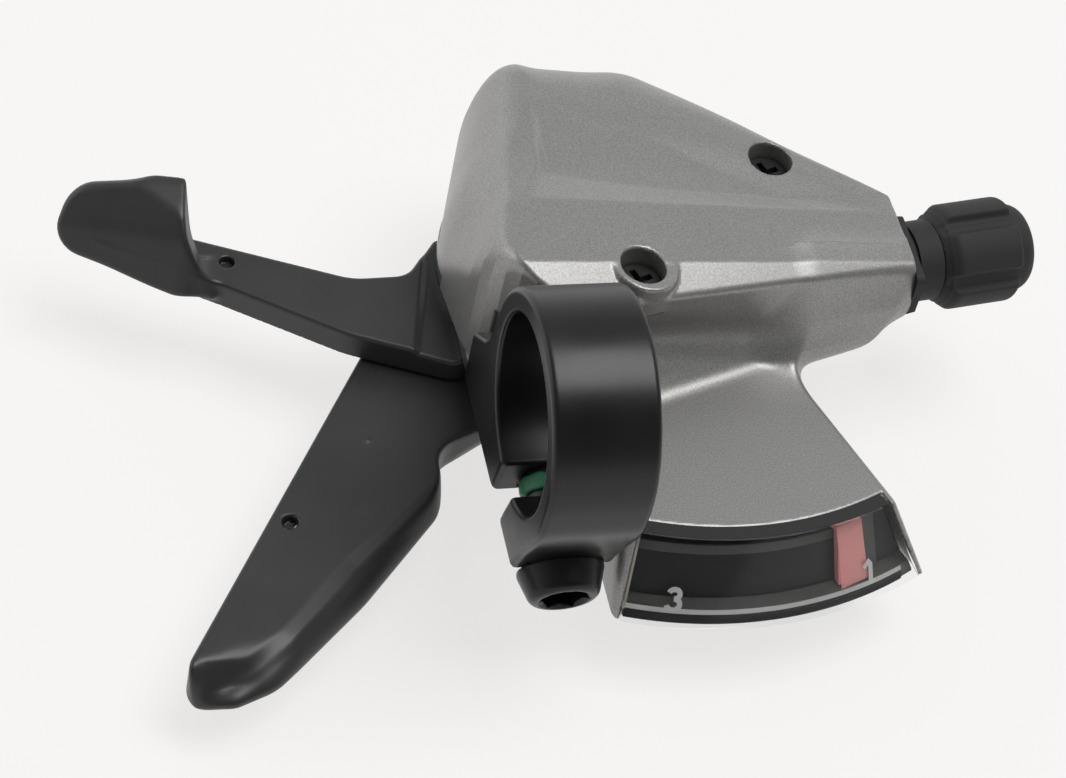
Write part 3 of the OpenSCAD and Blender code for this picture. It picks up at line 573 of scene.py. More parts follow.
@dataclass
class Cover(Piece):
    """The painted cover with its roof panels, display hood, wells and openings."""

    block: Block = Block((-9.0, -13.0, -26.0), (50.0, 61.0, 4.0), 0.36)
    wall: float = 1.8
    foot: float = -17.2
    foot_edge: float = 0.5
    cut_edge: float = 0.3

    # The roof
    crown: float = 2.0
    crown_fall: float = 0.13
    bend: float = 0.2
    top_rear: Line = Line(0.0, 30.5, 0.028)
    top_fall: float = 0.075
    crease_rear: Line = Line(30.85, 1.1, 0.39)
    crease_front: Line = Line(42.0, 4.4, 0.05)
    crease_bend: float = 1.5
    crease_fall: float = 0.35
    recess: Fade = Fade(37.0, 14.0, 1.1, -1.1)
    recess_edge: Fade = Fade(5.0, 9.0, 1.2, 4.5)
    recess_bend: float = 0.1
    band_w: float = 2.5
    band_more: float = 3.4
    band_from: float = 3.4
    band_least: float = -4.0
    band_decay: float = 14.0
    band_bend: float = 0.05
    strip: Line = Line(0.0, 20.5, 0.068)
    strip_fall: float = 0.47
    panel: Outline = Outline((
        (0.0, 26, 1), (0.3, 30.9, 2), (3.5, 37.4, 3), (4.4, 49.4, 4), (19.6, 49.6, 5), (45.6, 32.6, 2),
        (46, 26, 1)))

    # The sides
    base: Outline = Outline((
        (-4.6, 16.6, 10), (58, 22.37, 0.5), (58, 26.3, 0.5), (19.8, 59.5, 9), (0.8, 59.6, 6), (-6.6, 37, 12)))
    undercut: Line = Line(12.0, -1.2, 2.9 / 34.0)
    undercut_ends: Spot = (-1.8, 1.7)
    undercut_low: float = -9.0
    undercut_h: float = 5.0
    undercut_bend: float = 0.1
    undercut_left: Fade = Fade(-3.0, 10.0)
    undercut_rear: Fade = Fade(24.0, 8.0, 1.0, -1.0)
    left_share: Fade = Fade(-3.0, 9.0)
    left_roll: Fade = Fade(18.0, 20.0, 3.4, 4.2)
    front_roll: Fade = Fade(33.0, 13.0, 0.0, 6.8)
    front_share: Fade = Fade(12.0, 24.0, 1.0, -0.55)
    corner_fill: float = 0.4
    corner_least: float = 0.1
    roll_full: float = 7.0
    roll_wide: float = 10.0
    roll_least: float = 1.2
    edge_r: float = 0.7
    edge_more: float = 11.0
    nose: Plane = Plane((0.246, -0.717, -0.652), (37.8, 20.5, -13.7))
    nose_edge: float = 1.4
    end_x: float = 47.5
    end_edge: float = 0.3

    # The hood over the display
    pivot: Spot = (21.4, 34.2)
    window_r: float = 42.4
    window_slope: float = 0.5
    window_t: float = 1.8
    window_gap: float = 0.1
    window_from: float = -107.5
    hood_top: float = -14.0
    hood_floor: float = -24.5
    hood_left: float = 6.6
    hood_corner: float = 1.6
    hood_edge: float = 0.4
    hood_root: float = 15.0
    hood_lid: float = 1.0
    hood_end: Plane = Plane((0.877, 0.319, 0.359), (39.6, -3.35, -14.0))
    hood_end_edge: float = 0.6
    end_wall: float = 0.7
    plate_t: float = 1.4
    cheek_r: float = 21.0
    cheek_t: float = 1.0
    slope: Plane = Plane((0.2, -0.65, 0.733), (13.0, 12.2, -14.2))
    slope_left: float = 12.0
    slope_right: float = 41.0
    slope_low: float = -15.2
    slope_front: float = 21.0
    slope_edge: float = 2.0
    slope_fillet: float = 1.6
    fillet: Fade = Fade(27.0, 8.0, 2.2, 6.5)

    # Screws and openings
    screw_front: Place = (33.6, 40.6, -7.0)
    screw_rear: Place = (12.6, 20.9, -3.6)
    well_r: float = 2.7
    well_wall: float = 1.0
    well_floor: float = 2.0
    hole_r: float = 1.4
    post_r: float = 1.9
    lip_r: float = 3.9
    lip_shift: float = 0.3
    lip_drop: float = 0.1
    lip_edge: float = 0.4
    lip_low: float = -4.0
    boss_r: float = 3.0
    boss_low: float = -4.4
    thread_r: float = 1.23
    thread_top: float = -3.0
    slot_in: float = 10.3
    slot_out: float = 20.8
    slot_neck: float = 13.7
    slot_ends: Spot = (-109.0, -62.0)
    clamp_room: Place = (6.4, 21.4, -7.1)
    sleeve_r: float = 5.3
    sleeve_from: float = 21.1

    def crease(self, y: Array) -> Array:
        """Where the flat top ends on its left side."""
        return blunt_min(self.crease_rear(y), self.crease_front(y), self.crease_bend)

    def height(self, x: Array, z: Array) -> Array:
        """The height above the roof's main plane."""
        return z - self.crown + self.crown_fall * x

    def window_front(self, z: Array) -> Array:
        """The radius of the window's front at a height."""
        return self.window_r + self.window_slope * (self.hood_top - z)

    def polar(self, x: Array, y: Array) -> tuple[Array, Array]:
        """Radius and angle in degrees round the needle's pivot."""
        px, py = x - self.pivot[0], y - self.pivot[1]
        return np.hypot(px, py), np.degrees(np.arctan2(py, px))

    def around(self, r: Array, turn: Array, z: Array) -> Array:
        """Rows of places at radii, angles and heights round the needle's pivot."""
        return np.stack([self.pivot[0] + r * np.cos(turn), self.pivot[1] + r * np.sin(turn), z], axis=1)

    def roof(self, at: Places) -> Array:
        """Shapes the roof's panels, ridges and recess.

        Args:
            at: the places.

        Returns:
            The field of what lies below the roof.
        """
        x, y, z = at
        past = y - self.top_rear(x)
        fading = np.exp(-np.maximum(x - self.band_from, self.band_least) / self.band_decay)
        sunk = self.recess(y) * flank(past / (self.band_w + self.band_more * fading), self.band_bend)
        sunk = sunk * flank(-self.panel.distance(x, y) / self.recess_edge(x), self.recess_bend)
        level = self.height(x, z) + self.top_fall * ramp(past, self.bend) + sunk
        level = level + self.crease_fall * ramp(self.crease(y) - x, self.bend)
        rear = self.strip(x) - y
        tilt = 0.5 * self.strip_fall * (1.0 + rear / np.hypot(rear, self.bend))
        return (level + self.strip_fall * ramp(rear, self.bend)) / np.sqrt(1.0 + tilt ** 2)

    def shell(self, at: Places) -> Array:
        """Shapes the cover's outside without its hood.

        Args:
            at: the places.

        Returns:
            The field, negative inside.
        """
        x, y, z = at
        cut = np.clip(self.undercut(x), *self.undercut_ends)
        cut = cut * flank((z - self.undercut_low) / self.undercut_h, self.undercut_bend)
        side = self.base.distance(x, y) + cut * self.undercut_left(x) * self.undercut_rear(y)
        left = self.left_share(self.crease(y) - x) * self.left_roll(y)
        front = self.front_roll(y) * self.front_share(x)
        fill = self.corner_fill * left * front / (left + front + self.corner_least)
        roll = (left ** 4 + front ** 4) ** 0.25 - fill
        share = np.minimum(roll / self.roll_full, 1.0)
        steep = 1.0 + share * (self.roll_wide / (self.roll_least + roll) - 1.0)
        body = blunt_max(side * steep, self.roof(at), self.edge_r + self.edge_more * share)
        lip = off_axis(x - self.lip_shift, y, self.screw_rear) - self.lip_r
        lip = blunt_max(self.height(x, z) + self.lip_drop, lip, self.lip_edge)
        body = blunt_min(body, common(lip, self.lip_low - z), self.lip_edge)
        return blunt_max(blunt_max(body, self.nose(at), self.nose_edge), x - self.end_x, self.end_edge)

    def hood(self, at: Places) -> Array:
        """Shapes the display hood, filled, and the slope behind it.

        Args:
            at: the places.

        Returns:
            The field, negative inside.
        """
        x, y, z = at
        r, _ = self.polar(x, y)
        side = (r - self.window_front(z)) / math.hypot(1.0, self.window_slope)
        wedge = blunt_max(side, self.hood_left - x, self.hood_corner)
        wedge = common(blunt_max(wedge, z - self.hood_top, self.hood_edge), self.hood_floor - z)
        wedge = common(blunt_max(wedge, self.hood_end(at), self.hood_end_edge), self.hood_root - r)
        under = common(z - self.hood_top + self.plate_t, r - self.cheek_r)
        slope = blunt_max(self.slope(at), self.slope_left - x, self.slope_edge)
        slope = blunt_max(slope, common(self.slope_low - z, x - self.slope_right), self.hood_edge)
        slope = blunt_max(common(slope, y - self.slope_front), self.nose(at), self.slope_edge)
        return blunt_min(without(wedge, under), slope, self.slope_fillet)

    def openings(self, at: Places) -> Array:
        """Shapes everything that is cut out of the cover.

        Args:
            at: the places.

        Returns:
            The field, negative in the openings.
        """
        x, y, z = at
        r, angle = self.polar(x, y)
        arc = np.radians(1.0) * r
        below = z - self.hood_top + self.plate_t
        rim = self.window_front(z) - self.window_t - self.window_gap
        display = together(below, common(rim - r, z - self.hood_top - self.hood_lid))
        display = common(display, self.cheek_r - self.cheek_t - r, (self.window_from - angle) * arc,
                         self.hood_end(at) + self.end_wall)
        slot = together(common(r - self.slot_out, below), common(r - self.slot_neck, z - self.boss_low))
        first, last = self.slot_ends
        slot = common(slot, self.slot_in - r, (first - angle) * arc, (angle - last) * arc)
        clamp = common(*(v - limit for v, limit in zip(at, self.clamp_room)))
        post = off_axis(x, y, self.screw_rear) - self.post_r
        post = common(post, z - self.screw_rear[2] + self.well_floor)
        thread = common(r - self.thread_r, z - self.thread_top)
        along, across, over = CABLE.local(at)
        sleeve = common(np.hypot(across, over) - self.sleeve_r, self.sleeve_from - along)
        cut = together(display, slot, clamp, post, thread, sleeve)
        for screw in (self.screw_front, self.screw_rear):
            far = off_axis(x, y, screw)
            cut = together(cut, common(far - self.well_r, screw[2] - z), far - self.hole_r)
        return cut

    def field(self, at: Places) -> Array:
        """Shapes the whole cover.

        Args:
            at: the places.

        Returns:
            The field, negative inside.
        """
        x, y, z = at
        shell = self.shell(at)
        solid = common(off_axis(x, y, self.pivot) - self.boss_r, self.boss_low - z)
        for screw in (self.screw_front, self.screw_rear):
            far = off_axis(x, y, screw) - self.well_r - self.well_wall
            solid = together(solid, common(far, screw[2] - self.well_floor - z))
        hollow = without(shell + self.wall, solid)
        outside = blunt_max(shell, self.foot - z, self.foot_edge)
        outside = blunt_min(outside, self.hood(at), self.fillet(x))
        return blunt_max(without(outside, hollow), -self.openings(at), self.cut_edge)

    def build(self) -> None:
        """Makes the cover."""
        self.moulded("cover_body", self.field, self.block, Finishes.COVER, Body.HOUSING,
                     "cover_grey", "top_cover")


@dataclass
class Clamp(Piece):
    """The handlebar band with its ear, jaw and foot, and the bolt that closes it."""

    band_block: Block = Block((-6.8, -20.5, -23.5), (6.8, 21.5, 15.0), 0.3)
    bolt_block: Block = Block((-5.6, -18.0, -25.5), (5.6, 13.5, -6.0), 0.24)
    lock_block: Block = Block((-4.0, -10.0, -21.5), (4.0, 5.0, -9.0), 0.22)

    # The band
    bar_r: float = 11.1
    bar_edge: float = 0.5
    band_r: float = 13.9
    half_w: float = 6.0
    edge: float = 0.8
    foot_low: float = -17.2
    foot_fillet: float = 4.0
    jaw_s: float = 1.7
    jaw_fillet: float = 2.4
    ear_end: float = 12.7
    ear_fillet: float = 5.0
    slit: float = 4.2
    slit_edge: float = 0.9
    slit_slant: Line = Line(12.5, 0.0, 0.13)
    hole_gap: float = 0.25
    hole_end: float = -8.0
    ear: Outline = Outline((
        (5.9, 4, 0), (11.6, 1, 0), (12.7, 11, 6), (12.7, 18.8, 1.2), (11.3, 20.5, 1.2), (5.9, 20.5, 0.5)))
    jaw: Outline = Outline(((2.6, 4, 0), (2.6, 18.4, 1.0), (1.4, 19.6, 1.0), (-9, 19.6, 3), (-13, 4, 0)))
    foot: Outline = Outline((
        (9, -7.4, 0), (13, -3.5, 0), (20.5, -9.6, 1), (20.5, -17.2, 0.3), (9, -17.2, 0.3)))

    # The bolt
    bolt_deg: float = 198.0
    bolt_t: float = 15.0
    bolt_r: float = 3.0
    bolt_tip: float = -7.5
    head_r: float = 4.95
    head_top_r: float = 3.75
    head_h: float = 3.8
    head_rim: float = 0.5
    head_edge: float = 0.9
    hex_half: float = 2.5
    hex_floor: float = 1.2
    lead_r: float = 2.95
    lead_floor: float = 2.0
    thread: Fade = Fade(-0.5, -1.0, 0.0, 0.12)
    thread_in: float = 0.15
    shank_in: float = 0.5

    # The resin on its thread
    lock_r: Spot = (2.7, 3.3)
    lock_s: float = 3.1
    lock_half: float = 0.9
    lock_waves: tuple[Place, ...] = ((0.22, 3.0, 0.4), (0.1, 7.0, 0.0))
    lock_edge: float = 0.4

    def bolt_axes(self) -> Axes:
        """The bolt's own frame: along to its head, over away from the bar."""
        c, s = math.cos(math.radians(self.bolt_deg)), math.sin(math.radians(self.bolt_deg))
        return Axes((0.0, -s * self.bolt_t, c * self.bolt_t), (0.0, c, s), (1.0, 0.0, 0.0), (0.0, -s, c))

    def band_field(self, at: Places) -> Array:
        """Shapes the band.

        Args:
            at: the places.

        Returns:
            The field, negative inside.
        """
        x, y, z = at
        s, _, t = self.bolt_axes().local(at)
        hole = common(np.hypot(x, t) - self.bolt_r - self.hole_gap, self.hole_end - s)
        t = t + self.bolt_t
        r = np.hypot(y, z)
        profile = blunt_min(r - self.band_r, self.foot.distance(y, z), self.foot_fillet)
        profile = blunt_min(profile, self.jaw.distance(s, t), self.jaw_fillet)
        profile = blunt_min(profile, self.ear.distance(s, t), self.ear_fillet)
        slit = common(self.jaw_s + self.slit_slant(t) - s, s - self.jaw_s - self.slit, -t)
        profile = blunt_max(common(profile, self.foot_low - z), -slit, self.slit_edge)
        band = blunt_max(profile, np.abs(x) - self.half_w, self.edge)
        return without(blunt_max(band, self.bar_r - r, self.bar_edge), hole)

    def bolt_field(self, at: Places) -> Array:
        """Shapes the bolt with its socket and thread.

        Args:
            at: the places.

        Returns:
            The field, negative inside.
        """
        s, u, t = self.bolt_axes().local(at)
        r, angle = np.hypot(u, t), np.arctan2(u, t)
        rise = s - self.ear_end
        taper = (self.head_r - self.head_top_r) / self.head_h
        cone = (r - self.head_r + taper * np.maximum(rise - self.head_rim, 0.0)) / math.hypot(1.0, taper)
        head = blunt_max(common(cone, -rise), rise - self.head_h, self.head_edge)
        facet = np.cos((angle + SIXTH / 2.0) % SIXTH - SIXTH / 2.0) * r
        socket = common(facet - self.hex_half, self.hex_floor - rise)
        lead = common((r - self.lead_r - (rise - self.head_h)) * DIAGONAL, self.lead_floor - rise)
        head = without(without(head, socket), lead)
        thread = self.thread(s) * np.cos(s * 2.0 * math.pi)
        shank = common(r - self.bolt_r + self.thread_in + thread, self.bolt_tip - s, rise - self.shank_in)
        return together(head, shank)

    def lock_field(self, at: Places) -> Array:
        """Shapes the ragged ring of resin on the bolt's thread.

        Args:
            at: the places.

        Returns:
            The field, negative inside.
        """
        s, u, t = self.bolt_axes().local(at)
        r, angle = np.hypot(u, t), np.arctan2(u, t)
        ragged = self.lock_half + sum(h * np.cos(n * angle + turn) for h, n, turn in self.lock_waves)
        ring = common(r - self.lock_r[1], self.lock_r[0] - r)
        return blunt_max(ring, np.abs(s - self.lock_s) - ragged, self.lock_edge)

    def build(self) -> None:
        """Makes the band, the bolt and the resin on its thread."""
        self.moulded("clamp_band_body", self.band_field, self.band_block, Finishes.CLAMP, Body.HOUSING,
                     "clamp_black", "clamp_band")
        self.moulded("clamp_bolt_body", self.bolt_field, self.bolt_block, Finishes.BOLT, Body.HOUSING,
                     "bolt_black", "clamp_bolt")
        self.moulded("thread_lock", self.lock_field, self.lock_block, Finishes.LOCK, Body.HOUSING,
                     "bolt_black")


@dataclass
class ThumbLever(Piece):
    """The broad push lever under the cover."""

    block: Block = Block((-44.5, -21.5, -30.2), (25.5, 50.5, -21.8), 0.36)
    axle: Spot = (13.0, 37.5)
    axle_r: float = 4.05
    top: float = -22.7
    low: float = -28.0
    low_edge: float = 0.8

    # The steel core and the hub
    plate_low: float = -25.3
    plate_top: float = -23.5
    core_in: float = 0.4
    hub_low: float = -29.2
    hub_floor: float = 1.0
    cup_r: float = 11.0
    cup_wall: float = 2.2
    root_r: float = 15.0

    # The top and the underside
    fall: float = 0.25
    fall_bend: float = 0.25
    soft: Fade = Fade(-0.5, 3.0, 0.6, 3.4)
    step_h: Fade = Fade(-29.0, -7.0, 0.0, 0.9)
    step_w: float = 2.0
    step_bend: float = 0.2
    dish: Spot = (-37.4, -15.2)
    dish_deg: float = 24.0
    dish_half: Spot = (3.6, 1.7)
    dish_h: float = 0.9
    mark: Spot = (-17.4, 16.1)
    mark_h: float = 0.14
    mark_area: float = 0.2
    gate: Spot = (-28.1, 4.8)
    gate_r: float = 0.9
    gate_h: float = 1.2
    gate_edge: float = 0.3
    hollow_roof: float = 1.0
    rearward: Spot = (0.696, -0.718)
    under_h: Fade = Fade(-1.0, 5.0, 7.2, -4.0)
    under_edge: float = 1.0

    outline: Outline = Outline((
        (14, 26.6, 2), (14, 48.4, 2), (5, 46.6, 6), (-13, 34, 6), (-42.8, -14.8, 3), (-38.6, -19.2, 4),
        (-31.9, -16.3, 8), (-20.3, -5.4, 30), (-9.8, 6.6, 4), (-9.3, 14.6, 4), (-2, 17.6, 5)))
    flat: Outline = Outline((
        (20, 20, 1), (20, 55, 1), (-5, 55, 1), (-14, 40, 4), (-46, -17, 1), (-40.6, -13.4, 2),
        (-35.8, -13.4, 3), (-31.3, -10.1, 4), (-22.6, -0.7, 10), (-10.2, 9.5, 3), (-6, 16, 3)))
    hollow: Outline = Outline((
        (-14.5, 17, 3), (-19, 22, 3), (-39.2, -12, 2), (-35.6, -15, 2), (-21, -2.6, 10), (-13, 6.4, 3)))
    core: Outline = Outline(((9, 44, 0), (-12, 27, 0), (-28, 4, 0), (-22, 0, 0), (-10, 15, 0), (17, 29, 0)))

    def roof(self, at: Places) -> Array:
        """Shapes the flat top, the fall round it, the step and dish of the tip and the moulding mark.

        Args:
            at: the places.

        Returns:
            The field of what lies below the top.
        """
        x, y, z = at
        beyond = self.flat.distance(x, y)
        c, s = math.cos(math.radians(self.dish_deg)), math.sin(math.radians(self.dish_deg))
        px, py = x - self.dish[0], y - self.dish[1]
        long, short = (px * c + py * s) / self.dish_half[0], (py * c - px * s) / self.dish_half[1]
        step = flank(beyond / self.step_w, self.step_bend) * self.step_h(x)
        mark = self.mark_h * np.exp(-off_axis(x, y, self.mark) ** 2 / self.mark_area)
        fall = self.fall * ramp(beyond, self.fall_bend)
        return z - self.top + fall + step + self.dish_h * np.exp(-long ** 2 - short ** 2) - mark

    def under(self, at: Places, rim: Array) -> Array:
        """Shapes the slope on which the underside rises to the rear edge.

        Args:
            at: the places.
            rim: distance from the outline.

        Returns:
            The field, negative above the slope.
        """
        x, y, z = at
        behind = self.rearward[0] * (x - self.axle[0]) + self.rearward[1] * (y - self.axle[1])
        return (self.top - self.under_h(behind) - z + rim) * DIAGONAL

    def field(self, at: Places) -> Array:
        """Shapes the lever.

        Args:
            at: the places.

        Returns:
            The field, negative inside.
        """
        x, y, z = at
        rim, roof = self.outline.distance(x, y), self.roof(at)
        arm = blunt_max(rim, self.low - z, self.low_edge)
        arm = blunt_max(arm, roof, self.soft(self.flat.distance(x, y)))
        arm = blunt_max(arm, self.under(at, rim), self.under_edge)
        far = off_axis(x, y, self.axle)
        arm = without(arm, common(far - self.root_r, self.plate_low - z))
        arm = without(arm, common(self.hollow.distance(x, y), z - self.plate_low + self.hollow_roof))
        lever = together(arm, common(far - self.cup_r, self.hub_low - z, z - self.plate_low))
        lever = without(lever, common(far - self.cup_r + self.cup_wall, self.hub_low + self.hub_floor - z))
        core = common(self.core.distance(x, y), self.plate_low - z, z - self.plate_top,
                      roof + self.core_in, rim + self.core_in)
        lever = without(common(lever, self.axle_r - far), core)
        gate = common(off_axis(x, y, self.gate) - self.gate_r, self.top - self.gate_h - z)
        return blunt_max(lever, -gate, self.gate_edge)

    def build(self) -> None:
        """Makes the lever."""
        self.moulded("thumb_lever_body", self.field, self.block, Finishes.LEVER, Body.THUMB,
                     "lever_plastic", "thumb_lever")


@dataclass
class TriggerLever(Piece):
    """The finger lever with its upright paddle."""

    block: Block = Block((-53.0, 22.0, -23.2), (4.0, 57.0, -8.0), 0.28)

    # The arm and its root under the cover
    axle: Spot = (13.0, 37.5)
    low: float = -22.3
    top: float = -18.6
    arm_edge: float = 0.6
    root_top: float = -19.12
    root_share: Fade = Fade(-1.4, 1.2)
    root_r: float = 15.5
    plate_r: float = 18.6
    plate_gap: float = 0.4
    travel: float = 14.0
    gate: Spot = (-30.7, 41.0)
    gate_r: float = 0.9
    gate_h: float = 1.0
    gate_edge: float = 0.25

    # The paddle
    paddle_root: Place = (-36.0, 39.8, -22.0)
    paddle_yaw: float = 149.0
    paddle_lean: float = 22.0
    paddle_edge: float = 0.8
    paddle_fillet: float = 1.8
    face: float = -3.2
    bend: float = 0.4
    bend_line: Line = Line(0.6, 8.2, -0.24)
    bend_w: float = 0.8
    neck: Fade = Fade(0.5, -5.5, 0.0, 2.2)
    wide: Fade = Fade(10.5, -9.0)
    thick: Line = Line(0.0, 1.7, 1.6)
    flare: Spot = (0.35, 0.28)
    flare_w: float = -1.4
    brow: Line = Line(2.4, 10.5, 0.2)
    brow_edge: float = 0.5

    outline: Outline = Outline((
        (2, 44.5, 0.5), (-4.9, 44, 1), (-9.3, 38, 3), (-16, 37.8, 8), (-34.6, 45.3, 3), (-42, 49.5, 4),
        (-49.2, 47, 2.4), (-34.1, 38.9, 20), (-18.1, 28.9, 14), (-6, 24, 2), (2, 27, 0.5)))
    paddle: Outline = Outline((
        (-4.4, 0.75, 0.3), (16.1, 0.9, 3.4), (15.8, 8.6, 4.2), (6.8, 12.3, 5), (2.4, 12.4, 0.9)))

    def paddle_axes(self) -> Axes:
        """Turns a frame to the paddle: along to its tip, across up its face, over to its front.

        Returns:
            The frame.
        """
        yaw, tip = math.radians(self.paddle_yaw), math.radians(90.0 + self.paddle_lean)
        turn = Matrix.Rotation(yaw, 3, "Z") @ Matrix.Rotation(tip, 3, "X")
        return Axes(self.paddle_root, *(tuple(turn.col[i]) for i in range(3)))

    def plate(self, at: Places) -> Array:
        """Shapes the paddle, whose upper half leans on forward.

        Args:
            at: the places.

        Returns:
            The field, negative inside.
        """
        u, v, w = self.paddle_axes().local(at)
        wide = self.wide(u)
        rear = self.face + self.bend * ramp(v - self.bend_line(u), self.bend_w) + self.neck(u)
        out, up = self.flare
        rim = self.paddle.distance(u - out * wide * (w - rear), v - up * wide * (w - self.flare_w))
        slab = blunt_max(rim, common(rear - w, w - rear - self.thick(wide)), self.paddle_edge)
        return blunt_max(slab, (v - self.brow(u) - (w - rear)) * DIAGONAL, self.brow_edge)

    def field(self, at: Places) -> Array:
        """Shapes the lever.

        Args:
            at: the places.

        Returns:
            The field, negative inside.
        """
        x, y, z = at
        px, py = x - self.axle[0], y - self.axle[1]
        c, s = math.cos(math.radians(self.travel)), math.sin(math.radians(self.travel))
        under = common(px, px * c - py * s) + self.plate_r + self.plate_gap
        top = self.top + (self.root_top - self.top) * self.root_share(under)
        arm = common(self.outline.distance(x, y), self.low - z)
        lever = blunt_min(blunt_max(arm, z - top, self.arm_edge), self.plate(at), self.paddle_fillet)
        lever = common(lever, self.low - z, self.root_r - np.hypot(px, py))
        gate = common(off_axis(x, y, self.gate) - self.gate_r, self.top - self.gate_h - z)
        return blunt_max(lever, -gate, self.gate_edge)

    def build(self) -> None:
        """Makes the lever."""
        self.moulded("trigger_lever_body", self.field, self.block, Finishes.LEVER, Body.TRIGGER,
                     "lever_plastic", "trigger_lever")


@dataclass
class Adjuster(Piece):
    """The fluted barrel on the cable's way out."""

    block: Block = Block((37.5, 20.0, -18.2), (66.5, 40.0, -3.8), 0.26)
    start: float = 38.437
    length: float = 12.6
    radius: float = 6.4
    lobes: int = 5
    lobe_deg: float = 131.0
    groove: Fade = Fade(0.4, 1.2, 1.15, -1.15)
    grip: float = 10.0
    grip_edge: float = 0.7
    chamfer: float = 1.6
    chamfer_edge: float = 0.4
    tail_r: float = 5.4
    tail_edge: float = 2.4
    tail_fillet: float = 0.5
    overlap: float = 1.0
    shank_from: float = 25.137
    shank_r: float = 3.45
    socket_r: float = 2.6
    socket_l: float = 8.0
    socket_edge: float = 0.3
    bore_r: float = 0.9

    def field(self, at: Places) -> Array:
        """Shapes the barrel.

        Args:
            at: the places.

        Returns:
            The field, negative inside.
        """
        s, across, over = CABLE.local(at)
        r = np.hypot(across, over)
        t = s - self.start
        turn = np.arctan2(over, across) - math.radians(self.lobe_deg)
        pitch = 2.0 * math.pi / self.lobes
        grip = r - self.radius + self.groove(np.abs((turn % pitch) - pitch / 2.0) * r)
        grip = blunt_max(grip, (r - self.radius + self.chamfer - t) * DIAGONAL, self.chamfer_edge)
        grip = blunt_max(common(grip, -t), t - self.grip, self.grip_edge)
        tail = common(blunt_max(r - self.tail_r, t - self.length, self.tail_edge), self.overlap - t)
        shank = common(r - self.shank_r, self.shank_from - s, t - self.overlap)
        barrel = together(blunt_min(grip, tail, self.tail_fillet), shank)
        socket = common(r - self.socket_r, self.length - self.socket_l - t)
        return blunt_max(common(barrel, self.bore_r - r), -socket, self.socket_edge)

    def build(self) -> None:
        """Makes the barrel."""
        self.moulded("barrel_body", self.field, self.block, Finishes.BLACK, Body.BARREL,
                     "black_plastic", "adjuster_barrel")


@dataclass(frozen=True)
class Depth:
    """Where a strip of the display lies: how far behind the window's front, on what and in which slot."""

    back: float
    slot: str
    body: Body = Body.HOUSING


@dataclass(frozen=True)
class Mark:
    """A straight strip of the display: the angles and heights of its ends, its width and its points."""

    degs: Spot
    heights: Spot
    width: float
    count: int = 48


